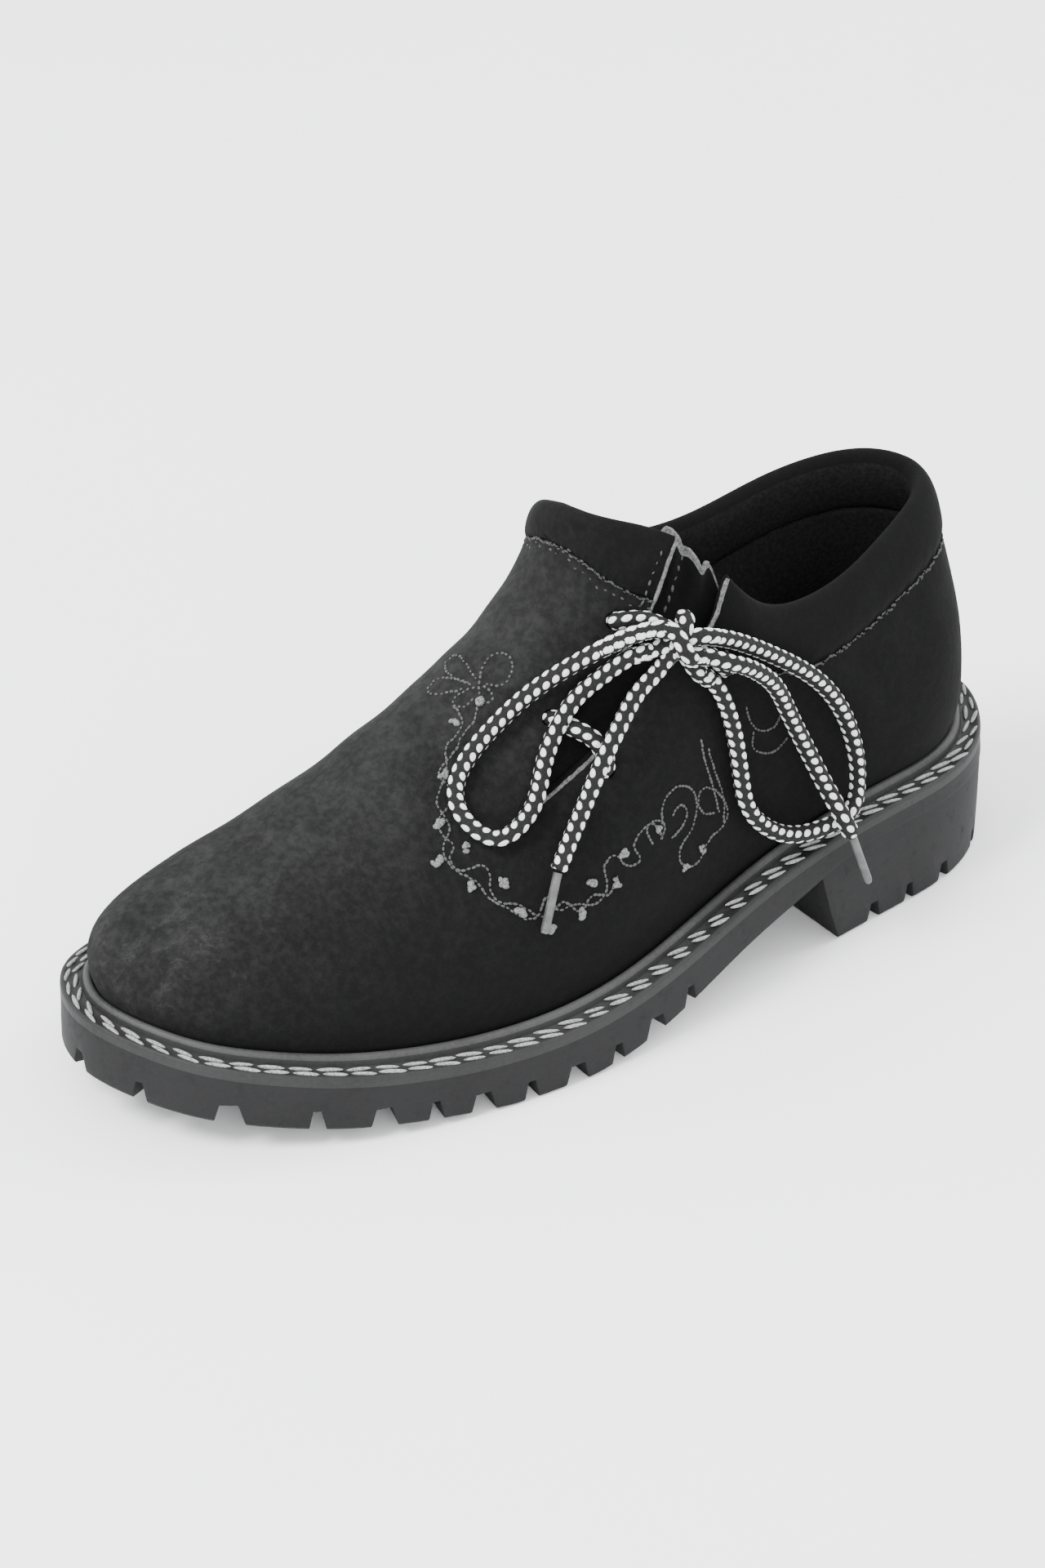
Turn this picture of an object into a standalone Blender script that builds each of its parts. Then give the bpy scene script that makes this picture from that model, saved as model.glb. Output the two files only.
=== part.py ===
import math

import bmesh
import bpy
import numpy as np
from mathutils import Vector

# A left shoe in black suede with a padded collar band, a side opening closed by one cord,
# a stitched welt and a lugged rubber sole with a heel. Metres, heel at +Y, toe at -Y,
# outer side (the laced one) at +X. Tables are in millimetres or in shares of the length.
MM = 0.001
LENGTH = 300.0
CLEAR = 0.3
WALL = 2.0
WELT_THICK = 3.0
FOOT_INSET = 9.8
WELT_INNER = 13.2
GUSSET_BEHIND = 4.2
LUG_DEEP = 6.0
BREAST_AT = 0.300
CORD_R = 2.4
STATIONS = 40

# Edge of the sole seen from above: share of the length from the heel, outer and inner reach.
SOLE_EDGE = [
    # share, outer, inner
    (0.030, 21.0, 20.0),
    (0.075, 34.0, 30.0),
    (0.130, 41.0, 35.0),
    (0.200, 44.5, 36.5),
    (0.280, 47.8, 36.0),
    (0.360, 51.8, 35.5),
    (0.440, 56.5, 37.0),
    (0.520, 60.4, 42.0),
    (0.600, 61.8, 47.5),
    (0.680, 60.3, 51.5),
    (0.760, 56.2, 52.5),
    (0.830, 50.0, 50.5),
    (0.890, 41.0, 46.0),
    (0.940, 30.5, 38.5),
    (0.975, 17.0, 28.5),
]
HEEL_TIP = -1.0
TOE_TIP = -7.0

# Heights along the shoe: top of the welt's ledge and underside of the sole layer.
SOLE_HIGH = [
    # share, ledge, under
    (0.00, 36.4, 27.4),
    (0.15, 36.1, 27.1),
    (0.25, 35.4, 26.4),
    (0.33, 33.1, 20.8),
    (0.40, 29.6, 15.6),
    (0.46, 25.4, 9.8),
    (0.52, 21.2, 4.2),
    (0.57, 18.6, 1.0),
    (0.62, 17.2, -0.4),
    (0.67, 17.0, -0.2),
    (0.73, 17.8, 1.4),
    (0.79, 19.6, 3.2),
    (0.86, 22.4, 5.6),
    (0.93, 26.2, 8.9),
    (1.00, 31.0, 12.8),
]

# Top line of the collar seen from above, and its height: outer side, then inner side.
TOP_OUTER = [
    # share, across, height
    (0.075, 8.0, 112.0),
    (0.120, 17.0, 110.5),
    (0.170, 23.5, 107.5),
    (0.220, 28.0, 104.5),
    (0.280, 31.0, 103.5),
    (0.330, 31.8, 108.0),
    (0.370, 30.8, 120.0),
    (0.400, 28.2, 130.0),
    (0.430, 23.5, 136.0),
    (0.460, 16.0, 138.5),
    (0.480, 6.5, 139.0),
]
TOP_INNER = [
    # share, across, height
    (0.065, 17.0, 112.0),
    (0.100, 26.0, 110.5),
    (0.150, 32.0, 107.0),
    (0.200, 34.8, 103.0),
    (0.260, 36.0, 99.5),
    (0.330, 35.5, 101.5),
    (0.380, 33.0, 109.5),
    (0.420, 29.0, 119.5),
    (0.455, 22.0, 129.0),
    (0.477, 13.0, 135.0),
]
TOP_BACK = (0.052, -5.0, 112.0)
TOP_FRONT = (0.485, -4.0, 138.0)

# Height of the padded band under the top line, round the shoe (0 back, 0.5 front).
BAND_HIGH = [
    # place, height
    (0.000, 19.0),
    (0.310, 18.5),
    (0.345, 18.0),
    (0.376, 15.8),
    (0.406, 13.0),
    (0.440, 10.8),
    (0.500, 10.5),
    (0.575, 11.7),
    (0.650, 14.0),
    (0.720, 17.0),
    (0.800, 19.0),
    (1.000, 19.0),
]

# Where a line up the upper starts at the sole and where it ends round the top line (0.5 = front).
SPREAD = [
    # share at the sole, share round the top
    (0.00, 0.000),
    (0.10, 0.080),
    (0.20, 0.165),
    (0.30, 0.250),
    (0.40, 0.305),
    (0.50, 0.348),
    (0.60, 0.382),
    (0.70, 0.410),
    (0.80, 0.437),
    (0.90, 0.465),
    (1.00, 0.500),
]

# Form of the line up the upper at five places: share run inward, share risen, for each knot.
RISE = [
    # place (0 heel, 1 toe), run a, rise a, run b, rise b, run c, rise c, run d, rise d, run e, rise e
    (0.00, -0.35, 0.18, -0.30, 0.38, 0.00, 0.58, 0.42, 0.76, 0.80, 0.90),
    (0.20, -0.30, 0.16, -0.20, 0.36, 0.12, 0.56, 0.50, 0.76, 0.82, 0.90),
    (0.40, -0.06, 0.14, 0.08, 0.32, 0.32, 0.54, 0.60, 0.74, 0.85, 0.90),
    (0.60, -0.03, 0.13, 0.05, 0.24, 0.26, 0.40, 0.55, 0.59, 0.85, 0.82),
    (0.80, -0.02, 0.11, 0.05, 0.195, 0.28, 0.32, 0.58, 0.50, 0.89, 0.78),
    (1.00, -0.015, 0.10, 0.03, 0.185, 0.27, 0.30, 0.62, 0.50, 0.94, 0.79),
]


def spline(knots, values, at):
    """Natural cubic through (knots, values), read at the places asked."""
    x = np.asarray(knots, float)
    y = np.asarray(values, float)
    n = len(x)
    h = np.diff(x)
    a = np.zeros((n, n))
    b = np.zeros((n,) + y.shape[1:])
    a[0, 0] = 1.0
    a[-1, -1] = 1.0
    for i in range(1, n - 1):
        a[i, i - 1] = h[i - 1]
        a[i, i] = 2.0 * (h[i - 1] + h[i])
        a[i, i + 1] = h[i]
        b[i] = 6.0 * ((y[i + 1] - y[i]) / h[i] - (y[i] - y[i - 1]) / h[i - 1])
    m = np.linalg.solve(a, b)
    at = np.atleast_1d(np.asarray(at, float))
    k = np.clip(np.searchsorted(x, at) - 1, 0, n - 2)
    t = at - x[k]
    r = x[k + 1] - at
    if y.ndim > 1:
        t = t[:, None]
        r = r[:, None]
        g = h[k][:, None]
    else:
        g = h[k]
    return (m[k] * r ** 3 + m[k + 1] * t ** 3) / (6.0 * g) + (y[k] / g - m[k] * g / 6.0) * r \
        + (y[k + 1] / g - m[k + 1] * g / 6.0) * t


def closed(points, count):
    """A smooth closed curve through the points, as count points evenly spaced along it."""
    p = np.asarray(points, float)
    n = len(p)
    p = np.vstack([p[-4:], p, p[:5]])
    step = np.linalg.norm(np.diff(p, axis=0), axis=1) ** 0.5
    key = np.concatenate([[0.0], np.cumsum(step)])
    fine = np.linspace(key[4], key[4 + n], 1601)
    q = spline(key, p, fine)
    run = np.concatenate([[0.0], np.cumsum(np.linalg.norm(np.diff(q, axis=0), axis=1))])
    want = np.linspace(0.0, run[-1], count + 1)[:-1]
    return np.column_stack([np.interp(want, run, q[:, k]) for k in range(q.shape[1])])


def along(share):
    return LENGTH * (0.5 - share)


def share_of(y):
    return 0.5 - np.asarray(y) / LENGTH


def ledge(y):
    rows = np.array(SOLE_HIGH)
    return spline(rows[:, 0], rows[:, 1], np.clip(share_of(y), 0.0, 1.0))


def under(y):
    rows = np.array(SOLE_HIGH)
    return np.maximum(spline(rows[:, 0], rows[:, 2], np.clip(share_of(y), 0.0, 1.0)), 0.0)


def sole_edge(count=800):
    outer = [(r[1], along(r[0])) for r in SOLE_EDGE]
    inner = [(-r[2], along(r[0])) for r in SOLE_EDGE]
    ring = [(HEEL_TIP, along(0.0))] + outer + [(TOE_TIP, along(1.0))] + inner[::-1]
    return closed(ring, count)


EDGE = sole_edge()
MID_X = 0.5 * (EDGE[:, 0].max() + EDGE[:, 0].min())
EDGE[:, 0] -= MID_X


def inset(distance, points=None):
    """The sole's edge moved inward by a distance, point for point."""
    p = EDGE if points is None else points
    t = np.roll(p, -1, axis=0) - np.roll(p, 1, axis=0)
    t /= np.linalg.norm(t, axis=1)[:, None]
    return p + np.column_stack([t[:, 1], -t[:, 0]]) * distance * TURN


TURN = 1.0
if abs(inset(5.0)[:, 0]).max() > abs(EDGE[:, 0]).max():
    TURN = -1.0


def split_sides(ring):
    """Outer half from heel to toe and inner half from heel to toe."""
    back = int(np.argmax(ring[:, 1]))
    r = np.roll(ring, -back, axis=0)
    front = int(np.argmin(r[:, 1]))
    one = r[:front + 1]
    two = np.vstack([r[front:], r[:1]])[::-1]
    if one[:, 0].max() < two[:, 0].max():
        one, two = two, one
    return one, two


def paired(ring, halves):
    """Ring as 2 * halves points: pairs of an outer and an inner point at matching runs."""
    one, two = split_sides(ring)
    out = []
    for side in (one, two):
        run = np.concatenate([[0.0], np.cumsum(np.linalg.norm(np.diff(side, axis=0), axis=1))])
        want = np.linspace(0.0, run[-1], halves + 1)
        out.append(np.column_stack([np.interp(want, run, side[:, k]) for k in range(side.shape[1])]))
    return np.vstack([out[0], out[1][1:-1][::-1]])


def top_line(count):
    outer = [(r[1] - MID_X, along(r[0]), r[2]) for r in TOP_OUTER]
    inner = [(-r[1] - MID_X, along(r[0]), r[2]) for r in TOP_INNER]
    back = (TOP_BACK[1] - MID_X, along(TOP_BACK[0]), TOP_BACK[2])
    front = (TOP_FRONT[1] - MID_X, along(TOP_FRONT[0]), TOP_FRONT[2])
    ring = closed([back] + outer + [front] + inner[::-1], 1200)
    k = int(np.argmin(np.linalg.norm(ring - np.array(back), axis=1)))
    ring = np.roll(ring, -k, axis=0)
    m = int(np.argmin(np.linalg.norm(ring - np.array(front), axis=1)))
    one = ring[:m + 1]
    two = np.vstack([ring[m:], ring[:1]])[::-1]
    return one, two


TOP_SIDES = top_line(1200)


def on_top(side, share):
    """Point of the top line at a share round it: 0 at the back, 0.5 at the front."""
    line = TOP_SIDES[side]
    run = np.concatenate([[0.0], np.cumsum(np.linalg.norm(np.diff(line, axis=0), axis=1))])
    want = np.atleast_1d(share) * 2.0 * run[-1]
    return np.column_stack([np.interp(want, run, line[:, k]) for k in range(3)])


def meridians(halves, fine=81):
    """Lines up the outside of the upper from the sole to the top line, one per station."""
    foot = paired(inset(FOOT_INSET), halves)
    n = len(foot)
    rise = np.array(RISE)
    spread = np.array(SPREAD)
    lines = []
    for i in range(n):
        side = 0 if i <= halves else 1
        y = foot[i, 1]
        lo = foot[:, 1].min()
        hi = foot[:, 1].max()
        place = (hi - y) / (hi - lo)
        top = on_top(side, spline(spread[:, 0], spread[:, 1], place))[0]
        base = np.array([foot[i, 0], y, ledge(y)[0] + CLEAR])
        row = spline(rise[:, 0], rise[:, 1:], place)[0]
        run = np.concatenate([[0.0], row[0::2], [1.0]])
        up = np.concatenate([[0.0], row[1::2], [1.0]])
        key = np.concatenate([[0.0], np.cumsum(np.hypot(np.diff(run) * 0.8, np.diff(up)) ** 0.7)])
        t = np.linspace(0.0, key[-1], fine)
        run = spline(key, run, t)
        up = spline(key, up, t)
        p = np.zeros((fine, 3))
        p[:, 0] = base[0] + (top[0] - base[0]) * run
        p[:, 1] = base[1] + (top[1] - base[1]) * run
        p[:, 2] = base[2] + (top[2] - base[2]) * up
        lines.append(p)
    return np.array(lines)


# Opening at the outer side, seen from the side: front edge and rear edge, top to bottom.
SLIT = [
    # front share, front height, rear share, rear height
    (0.385, 152.0, 0.340, 140.0),
    (0.414, 136.0, 0.362, 124.0),
    (0.430, 127.6, 0.380, 116.5),
    (0.447, 118.0, 0.394, 109.5),
    (0.470, 109.5, 0.426, 104.0),
    (0.497, 102.1, 0.460, 99.4),
    (0.522, 96.4, 0.485, 94.2),
    (0.543, 91.0, 0.506, 88.8),
    (0.561, 85.6, 0.529, 83.4),
    (0.577, 80.2, 0.560, 78.0),
    (0.590, 75.8, 0.588, 73.6),
    (0.602, 72.6, 0.603, 71.6),
]

# Eyelets: share along, height, drilled at right angles to the upper.
EYELETS = [
    # place, across, along, high, lean x, lean y, lean z
    ("front top", 18.1, 5.9, 113.2, 0.68, -0.59, 0.43),
    ("front low", 19.3, -16.0, 90.9, 0.60, -0.47, 0.64),
    ("rear low", 33.9, -8.4, 79.3, 0.84, -0.30, 0.45),
    ("rear top", 31.8, 33.9, 95.2, 0.97, 0.09, 0.22),
]
EYELET_R = 2.3

# Soft piece behind the opening: place round the upper, lowest edge, top edge below the top line.
GUSSET = [
    # place (0 back, 0.5 toe), height up from the sole, depth below the top line
    (0.190, 62.0, 13.0),
    (0.222, 60.0, 4.0),
    (0.250, 58.0, 3.0),
    (0.280, 55.0, 2.6),
    (0.310, 55.0, 4.0),
    (0.340, 58.0, 15.0),
    (0.365, 64.0, 28.0),
    (0.386, 76.0, 42.0),
]
GUSSET_THICK = 1.4

# Padded band: share up from its seam, how far out (+) or in (-) of the upper's outer face.
BAND_FORM = [
    # up, out
    (0.00, 0.0),
    (0.10, 0.8),
    (0.42, 1.5),
    (0.74, 1.1),
    (0.94, -0.4),
    (1.00, -2.6),
    (0.94, -4.6),
    (0.70, -5.6),
    (0.36, -4.6),
    (0.08, -3.0),
    (0.00, -2.0),
]

# Welt in section: inset from the sole's edge and height over the ledge.
WELT_FORM = [
    # inset, height
    (0.4, -WELT_THICK),
    (0.0, 0.4 - WELT_THICK),
    (0.0, -0.5),
    (0.5, 0.0),
    (6.2, 0.0),
    (6.4, 1.4),
    (7.3, 2.2),
    (8.2, 1.6),
    (8.7, 0.0),
    (WELT_INNER, 0.0),
    (WELT_INNER, -WELT_THICK),
]

# Notches between the lugs of the forefoot: share, width at the tread, width at the root.
NOTCHES = [
    # share, tread, root
    (0.478, 4.8, 2.2),
    (0.522, 7.8, 4.4),
    (0.567, 4.8, 2.2),
    (0.615, 7.8, 4.4),
    (0.662, 4.8, 2.2),
    (0.711, 7.8, 4.4),
    (0.758, 4.8, 2.2),
    (0.806, 7.8, 4.4),
    (0.862, 4.8, 2.2),
    (0.928, 8.6, 5.0),
    (0.980, 4.8, 2.2),
]
HEEL_NOTCHES = [
    # share, tread, root
    (0.225, 5.4, 2.8),
    (0.175, 4.2, 2.0),
    (0.125, 5.4, 2.8),
    (0.062, 4.2, 2.0),
]
NOTCH_LONG = 15.5
CHANNEL_IN = 17.5
CHANNEL_WIDE = 3.6
CROSS_GROOVES = [0.56, 0.63, 0.70, 0.77, 0.84]

# The cord's routes: across, along, high. Its bars stop clear of the eyelets.
BAR_TOP = [
    (21.8, 6.1, 115.2),
    (25.1, 11.0, 115.1),
    (29.8, 17.5, 110.8),
    (33.1, 24.1, 105.2),
    (34.4, 28.7, 100.6),
]
BAR_LOW = [
    (27.0, -13.5, 90.2),
    (28.8, -12.2, 89.5),
    (31.2, -10.5, 87.9),
    (33.5, -9.1, 85.9),
]
KNOT_AT = (29.8, 17.5, 110.8)
KNOT_ALONG = (0.40, 0.74, -0.54)
KNOT_OUT = (0.92, -0.21, 0.34)
KNOT_R = 5.1
LOOP_FRONT = [
    (35.4, 12.6, 115.6),
    (30.6, 7.6, 115.4),
    (23.4, -3.4, 109.6),
    (15.8, -19.0, 99.2),
    (13.7, -32.4, 89.9),
    (15.2, -42.8, 82.4),
    (19.2, -47.6, 76.7),
    (25.6, -47.6, 71.7),
    (31.5, -42.7, 68.5),
    (32.6, -35.8, 70.9),
    (30.9, -29.5, 76.0),
    (26.8, -23.4, 84.8),
    (24.6, -16.4, 93.2),
    (24.2, -11.0, 98.2),
    (25.6, -4.6, 102.6),
    (28.4, 3.6, 107.6),
    (30.4, 9.6, 108.6),
]
END_FRONT = [
    (32.0, 10.2, 102.9),
    (32.6, 4.8, 100.1),
    (33.8, -0.3, 96.8),
    (36.0, -5.7, 92.6),
    (37.7, -10.7, 88.0),
    (38.7, -15.2, 81.8),
    (39.4, -19.4, 75.0),
    (41.3, -25.8, 66.6),
    (43.4, -31.1, 60.2),
]
AGLET_FRONT = ((43.58, -31.39, 59.65), (48.2, -39.1, 45.6))
LOOP_REAR = [
    (36.4, 20.6, 112.0),
    (36.6, 27.5, 109.4),
    (36.0, 36.0, 104.6),
    (35.6, 50.3, 94.6),
    (35.8, 63.8, 82.8),
    (36.8, 71.8, 70.5),
    (38.6, 75.3, 57.6),
    (41.0, 74.4, 48.4),
    (44.5, 69.1, 43.3),
    (44.3, 59.2, 41.2),
    (43.2, 49.1, 42.3),
    (42.4, 40.9, 47.4),
    (41.7, 34.6, 56.0),
    (40.4, 32.8, 66.8),
    (38.6, 31.2, 80.8),
    (37.2, 28.2, 91.4),
    (36.4, 25.0, 97.0),
    (36.0, 21.0, 100.6),
]
END_REAR = [
    (36.7, 17.6, 107.5),
    (39.2, 22.0, 106.3),
    (41.2, 27.8, 103.6),
    (41.0, 33.3, 100.5),
    (39.6, 43.7, 91.3),
    (39.0, 49.9, 80.3),
    (40.2, 56.1, 66.4),
    (44.4, 60.2, 54.6),
    (50.0, 61.6, 47.6),
    (51.5, 64.2, 41.0),
]
AGLET_REAR = ((51.48, 64.48, 40.3), (51.0, 71.6, 22.4))
AGLET_R = 1.25


def paint(name, colour, rough, metal=0.0):
    m = bpy.data.materials.new(name)
    m.use_nodes = True
    shader = m.node_tree.nodes["Principled BSDF"]
    shader.inputs["Base Color"].default_value = colour
    shader.inputs["Roughness"].default_value = rough
    shader.inputs["Metallic"].default_value = metal
    m.diffuse_color = colour
    return m


def body(name, points, faces, material, smooth=True):
    """A closed mesh object from points in millimetres, its faces turned outward."""
    mesh = bpy.data.meshes.new(name)
    mesh.from_pydata([tuple(float(c) * MM for c in p) for p in points], [], faces)
    mesh.update()
    shell = bmesh.new()
    shell.from_mesh(mesh)
    bmesh.ops.recalc_face_normals(shell, faces=shell.faces)
    shell.to_mesh(mesh)
    shell.free()
    for face in mesh.polygons:
        face.use_smooth = smooth
    ob = bpy.data.objects.new(name, mesh)
    if material is not None:
        mesh.materials.append(material)
    return ob


def hoop(sections):
    """Points and faces of a closed ring of closed sections."""
    n, m, _ = sections.shape
    faces = []
    for i in range(n):
        for k in range(m):
            a = i * m + k
            b = i * m + (k + 1) % m
            c = ((i + 1) % n) * m + (k + 1) % m
            d = ((i + 1) % n) * m + k
            faces.append((a, b, c, d))
    return sections.reshape(-1, 3), faces


def rod(rings):
    """Points and faces of a run of closed rings, shut at both ends."""
    n, m, _ = rings.shape
    faces = []
    for i in range(n - 1):
        for k in range(m):
            a = i * m + k
            b = i * m + (k + 1) % m
            faces.append((a, b, b + m, a + m))
    faces.append(tuple(range(m))[::-1])
    faces.append(tuple((n - 1) * m + k for k in range(m)))
    return rings.reshape(-1, 3), faces


def plate(sides, top, bottom, halves, across=4):
    """A slab: rings down its side, and top and bottom faces that follow a height along the shoe."""
    points = [p for ring in sides for p in ring]
    n = 2 * halves
    faces = []
    for r in range(len(sides) - 1):
        for k in range(n):
            a = r * n + k
            b = r * n + (k + 1) % n
            faces.append((a, b, b + n, a + n))
    for ring_at, height in ((0, top), (len(sides) - 1, bottom)):
        rows = [[ring_at * n]]
        for i in range(1, halves):
            one = sides[ring_at][i]
            two = sides[ring_at][n - i]
            row = [ring_at * n + i]
            for j in range(1, across):
                p = one + (two - one) * j / across
                p = np.array([p[0], p[1], height(p[1])[0]])
                points.append(p)
                row.append(len(points) - 1)
            row.append(ring_at * n + n - i)
            rows.append(row)
        rows.append([ring_at * n + halves])
        for i in range(len(rows) - 1):
            one = rows[i]
            two = rows[i + 1]
            if len(one) == 1:
                for j in range(len(two) - 1):
                    faces.append((one[0], two[j], two[j + 1]))
            elif len(two) == 1:
                for j in range(len(one) - 1):
                    faces.append((one[j], two[0], one[j + 1]))
            else:
                for j in range(len(one) - 1):
                    faces.append((one[j], two[j], two[j + 1], one[j + 1]))
    return points, faces


def level(distance, height, halves):
    """The sole's edge inset by a distance at a height that follows the shoe."""
    ring = paired(inset(distance), halves)
    return np.column_stack([ring, height(ring[:, 1])])


def cut(target, cutter):
    m = target.modifiers.new("cut_" + cutter.name, "BOOLEAN")
    m.operation = "DIFFERENCE"
    m.solver = "EXACT"
    m.object = cutter


def many(name, parts):
    """Several separate bodies as one cutter."""
    points = []
    faces = []
    for pts, fcs in parts:
        base = len(points)
        points.extend(pts)
        faces.extend(tuple(base + i for i in f) for f in fcs)
    return body(name, points, faces, None, False)


def wedge(at, tangent, inward, low, high, wide_low, wide_high, reach_out, reach_in):
    """A notch cutter that stands across the sole's edge."""
    pts = []
    for reach in (-reach_out, reach_in):
        for z, w in ((low, wide_low), (high, wide_high)):
            for s in (-0.5, 0.5):
                p = at + inward * reach + tangent * w * s
                pts.append((p[0], p[1], z))
    faces = [(0, 1, 3, 2), (4, 6, 7, 5), (0, 4, 5, 1), (2, 3, 7, 6), (0, 2, 6, 4), (1, 5, 7, 3)]
    return pts, faces


def edge_frame(side, share):
    """Place, direction and inward direction at a share of the length on one side of the sole."""
    line = split_sides(EDGE)[side]
    k = int(np.argmin(abs(share_of(line[:, 1]) - share)))
    k = min(max(k, 1), len(line) - 2)
    t = line[k + 1] - line[k - 1]
    t = t / np.linalg.norm(t)
    inward = np.array([t[1], -t[0]])
    if side == 0 and inward[0] > 0.0 or side == 1 and inward[0] < 0.0:
        inward = -inward
    return line[k], t, inward


def notch_row(rows, height, sides=(0, 1)):
    parts = []
    for share, tread, root in rows:
        for side in sides:
            at, t, inward = edge_frame(side, share)
            low = height(at[1])
            grow = (tread - root) / LUG_DEEP
            parts.append(wedge(at, t, inward, low - 2.0, low + LUG_DEEP, tread + 2.0 * grow, root,
                               4.0, NOTCH_LONG))
    return parts


def sweep_cutter(line, wide, low, high):
    """A square channel along a line seen from above, with heights from two functions."""
    rings = []
    for k, p in enumerate(line):
        t = line[min(k + 1, len(line) - 1)] - line[max(k - 1, 0)]
        t = t / np.linalg.norm(t)
        s = np.array([t[1], -t[0]]) * wide / 2.0
        lo = low(p[1])
        hi = high(p[1])
        rings.append([(p[0] - s[0], p[1] - s[1], lo), (p[0] + s[0], p[1] + s[1], lo),
                      (p[0] + s[0], p[1] + s[1], hi), (p[0] - s[0], p[1] - s[1], hi)])
    return rod(np.array(rings))


def resample(line, count):
    run = np.concatenate([[0.0], np.cumsum(np.linalg.norm(np.diff(line, axis=0), axis=1))])
    want = np.linspace(0.0, run[-1], count)
    return np.column_stack([np.interp(want, run, line[:, k]) for k in range(line.shape[1])])


LINES = meridians(STATIONS)
RUNS = np.concatenate([np.zeros((len(LINES), 1)),
                       np.cumsum(np.linalg.norm(np.diff(LINES, axis=1), axis=2), axis=1)], axis=1)


def skin(i, run):
    """Point and outward normal on the upper's outside, at station i and a run up from the sole."""
    n = len(LINES)
    def at(j, r):
        return np.array([np.interp(r, RUNS[j % n], LINES[j % n][:, k]) for k in range(3)])
    share = run / RUNS[i % n][-1]
    p = at(i, run)
    up = at(i, min(run + 1.0, RUNS[i % n][-1])) - at(i, max(run - 1.0, 0.0))
    side = at(i + 1, share * RUNS[(i + 1) % n][-1]) - at(i - 1, share * RUNS[(i - 1) % n][-1])
    normal = np.cross(side, up)
    normal = normal / np.linalg.norm(normal)
    return p, normal * FACING


FACING = 1.0
if skin(STATIONS // 2, 20.0)[1][0] < 0.0:
    FACING = -1.0


def skin_at(place, run):
    """The same at a place between stations."""
    n = len(LINES)
    x = place * n
    i = int(math.floor(x))
    f = x - i
    one, m1 = skin(i, run * RUNS[i % n][-1])
    two, m2 = skin(i + 1, run * RUNS[(i + 1) % n][-1])
    m = m1 * (1.0 - f) + m2 * f
    return one * (1.0 - f) + two * f, m / np.linalg.norm(m)


def length_at(place):
    n = len(LINES)
    x = place * n
    i = int(math.floor(x))
    f = x - i
    return RUNS[i % n][-1] * (1.0 - f) + RUNS[(i + 1) % n][-1] * f


def band_high(place):
    rows = np.array(BAND_HIGH)
    return float(np.interp(place % 1.0, rows[:, 0], rows[:, 1]))


def make_upper(material):
    levels = [0.0, 0.05, 0.13, 0.24, 0.36, 0.50, 0.66, 0.83, 1.0]
    sections = []
    for i in range(2 * STATIONS):
        top = RUNS[i][-1] - band_high(i / len(RUNS)) - CLEAR
        outside = []
        inside = []
        for lv in levels:
            p, normal = skin(i, lv * top)
            q = p - normal * WALL
            if lv == 0.0:
                flat = normal * np.array([1.0, 1.0, 0.0])
                q = p - flat / np.linalg.norm(flat) * WALL
                q[2] = p[2]
            outside.append(p)
            inside.append(q)
        sections.append(outside + inside[::-1])
    pts, faces = hoop(np.array(sections))
    return body("upper", pts, faces, material)


def make_band(material):
    sections = []
    for i in range(2 * STATIONS):
        high = band_high(i / len(RUNS))
        row = []
        for up, out in BAND_FORM:
            p, normal = skin(i, RUNS[i][-1] - (1.0 - up) * high)
            row.append(p + normal * out)
        sections.append(row)
    pts, faces = hoop(np.array(sections))
    return body("collar_band", pts, faces, material)


def make_gusset(material):
    rows = np.array(GUSSET)
    cols = 13
    ups = 7
    outer = []
    inner = []
    for c in range(cols):
        place = rows[0, 0] + (rows[-1, 0] - rows[0, 0]) * c / (cols - 1)
        low, deep = spline(rows[:, 0], rows[:, 1:], place)[0]
        whole = length_at(place)
        ripple = 1.0 * math.sin(c * 2.1) + 0.5 * math.sin(c * 4.7 + 1.0)
        high = whole - deep + ripple
        for k in range(ups):
            run = low + (high - low) * k / (ups - 1)
            p, normal = skin_at(place, run / whole)
            near = (run - (whole - band_high(place) - 8.0)) / 12.0
            near = min(max(near, 0.0), 1.0)
            depth = WALL + 2.0 * CLEAR + GUSSET_BEHIND * near * near * (3.0 - 2.0 * near)
            outer.append(p - normal * depth)
            inner.append(p - normal * (depth + GUSSET_THICK))
    n = cols * ups
    faces = []
    for c in range(cols - 1):
        for k in range(ups - 1):
            a = c * ups + k
            faces.append((a, a + 1, a + ups + 1, a + ups))
            faces.append((n + a, n + a + ups, n + a + ups + 1, n + a + 1))
    rim = [c * ups for c in range(cols)] + [(cols - 1) * ups + k for k in range(1, ups)]
    rim += [c * ups + ups - 1 for c in range(cols - 2, -1, -1)] + [k for k in range(ups - 2, 0, -1)]
    for j, a in enumerate(rim):
        b = rim[(j + 1) % len(rim)]
        faces.append((a, b, n + b, n + a))
    return body("gusset", outer + inner, faces, material)


def slit_cutter():
    rows = SLIT
    shape = [(along(r[0]), r[1]) for r in rows] + [(along(r[2]), r[3]) for r in rows[::-1]]
    rings = np.array([[(x, y, z) for y, z in shape] for x in (4.0, 80.0)])
    pts, faces = rod(rings)
    return body("cutter_slit", pts, faces, None, False)


def eyelet_cutter():
    parts = []
    for row in EYELETS:
        at = Vector(row[1:4])
        axis = Vector(row[4:7]).normalized()
        side = axis.orthogonal().normalized()
        other = axis.cross(side)
        rings = []
        for reach in (-5.0, 5.0):
            ring = []
            for k in range(12):
                a = 2.0 * math.pi * k / 12.0
                p = at + axis * reach + (side * math.cos(a) + other * math.sin(a)) * EYELET_R
                ring.append(tuple(p))
            rings.append(ring)
        parts.append(rod(np.array(rings)))
    return many("cutter_eyelets", parts)


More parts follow.
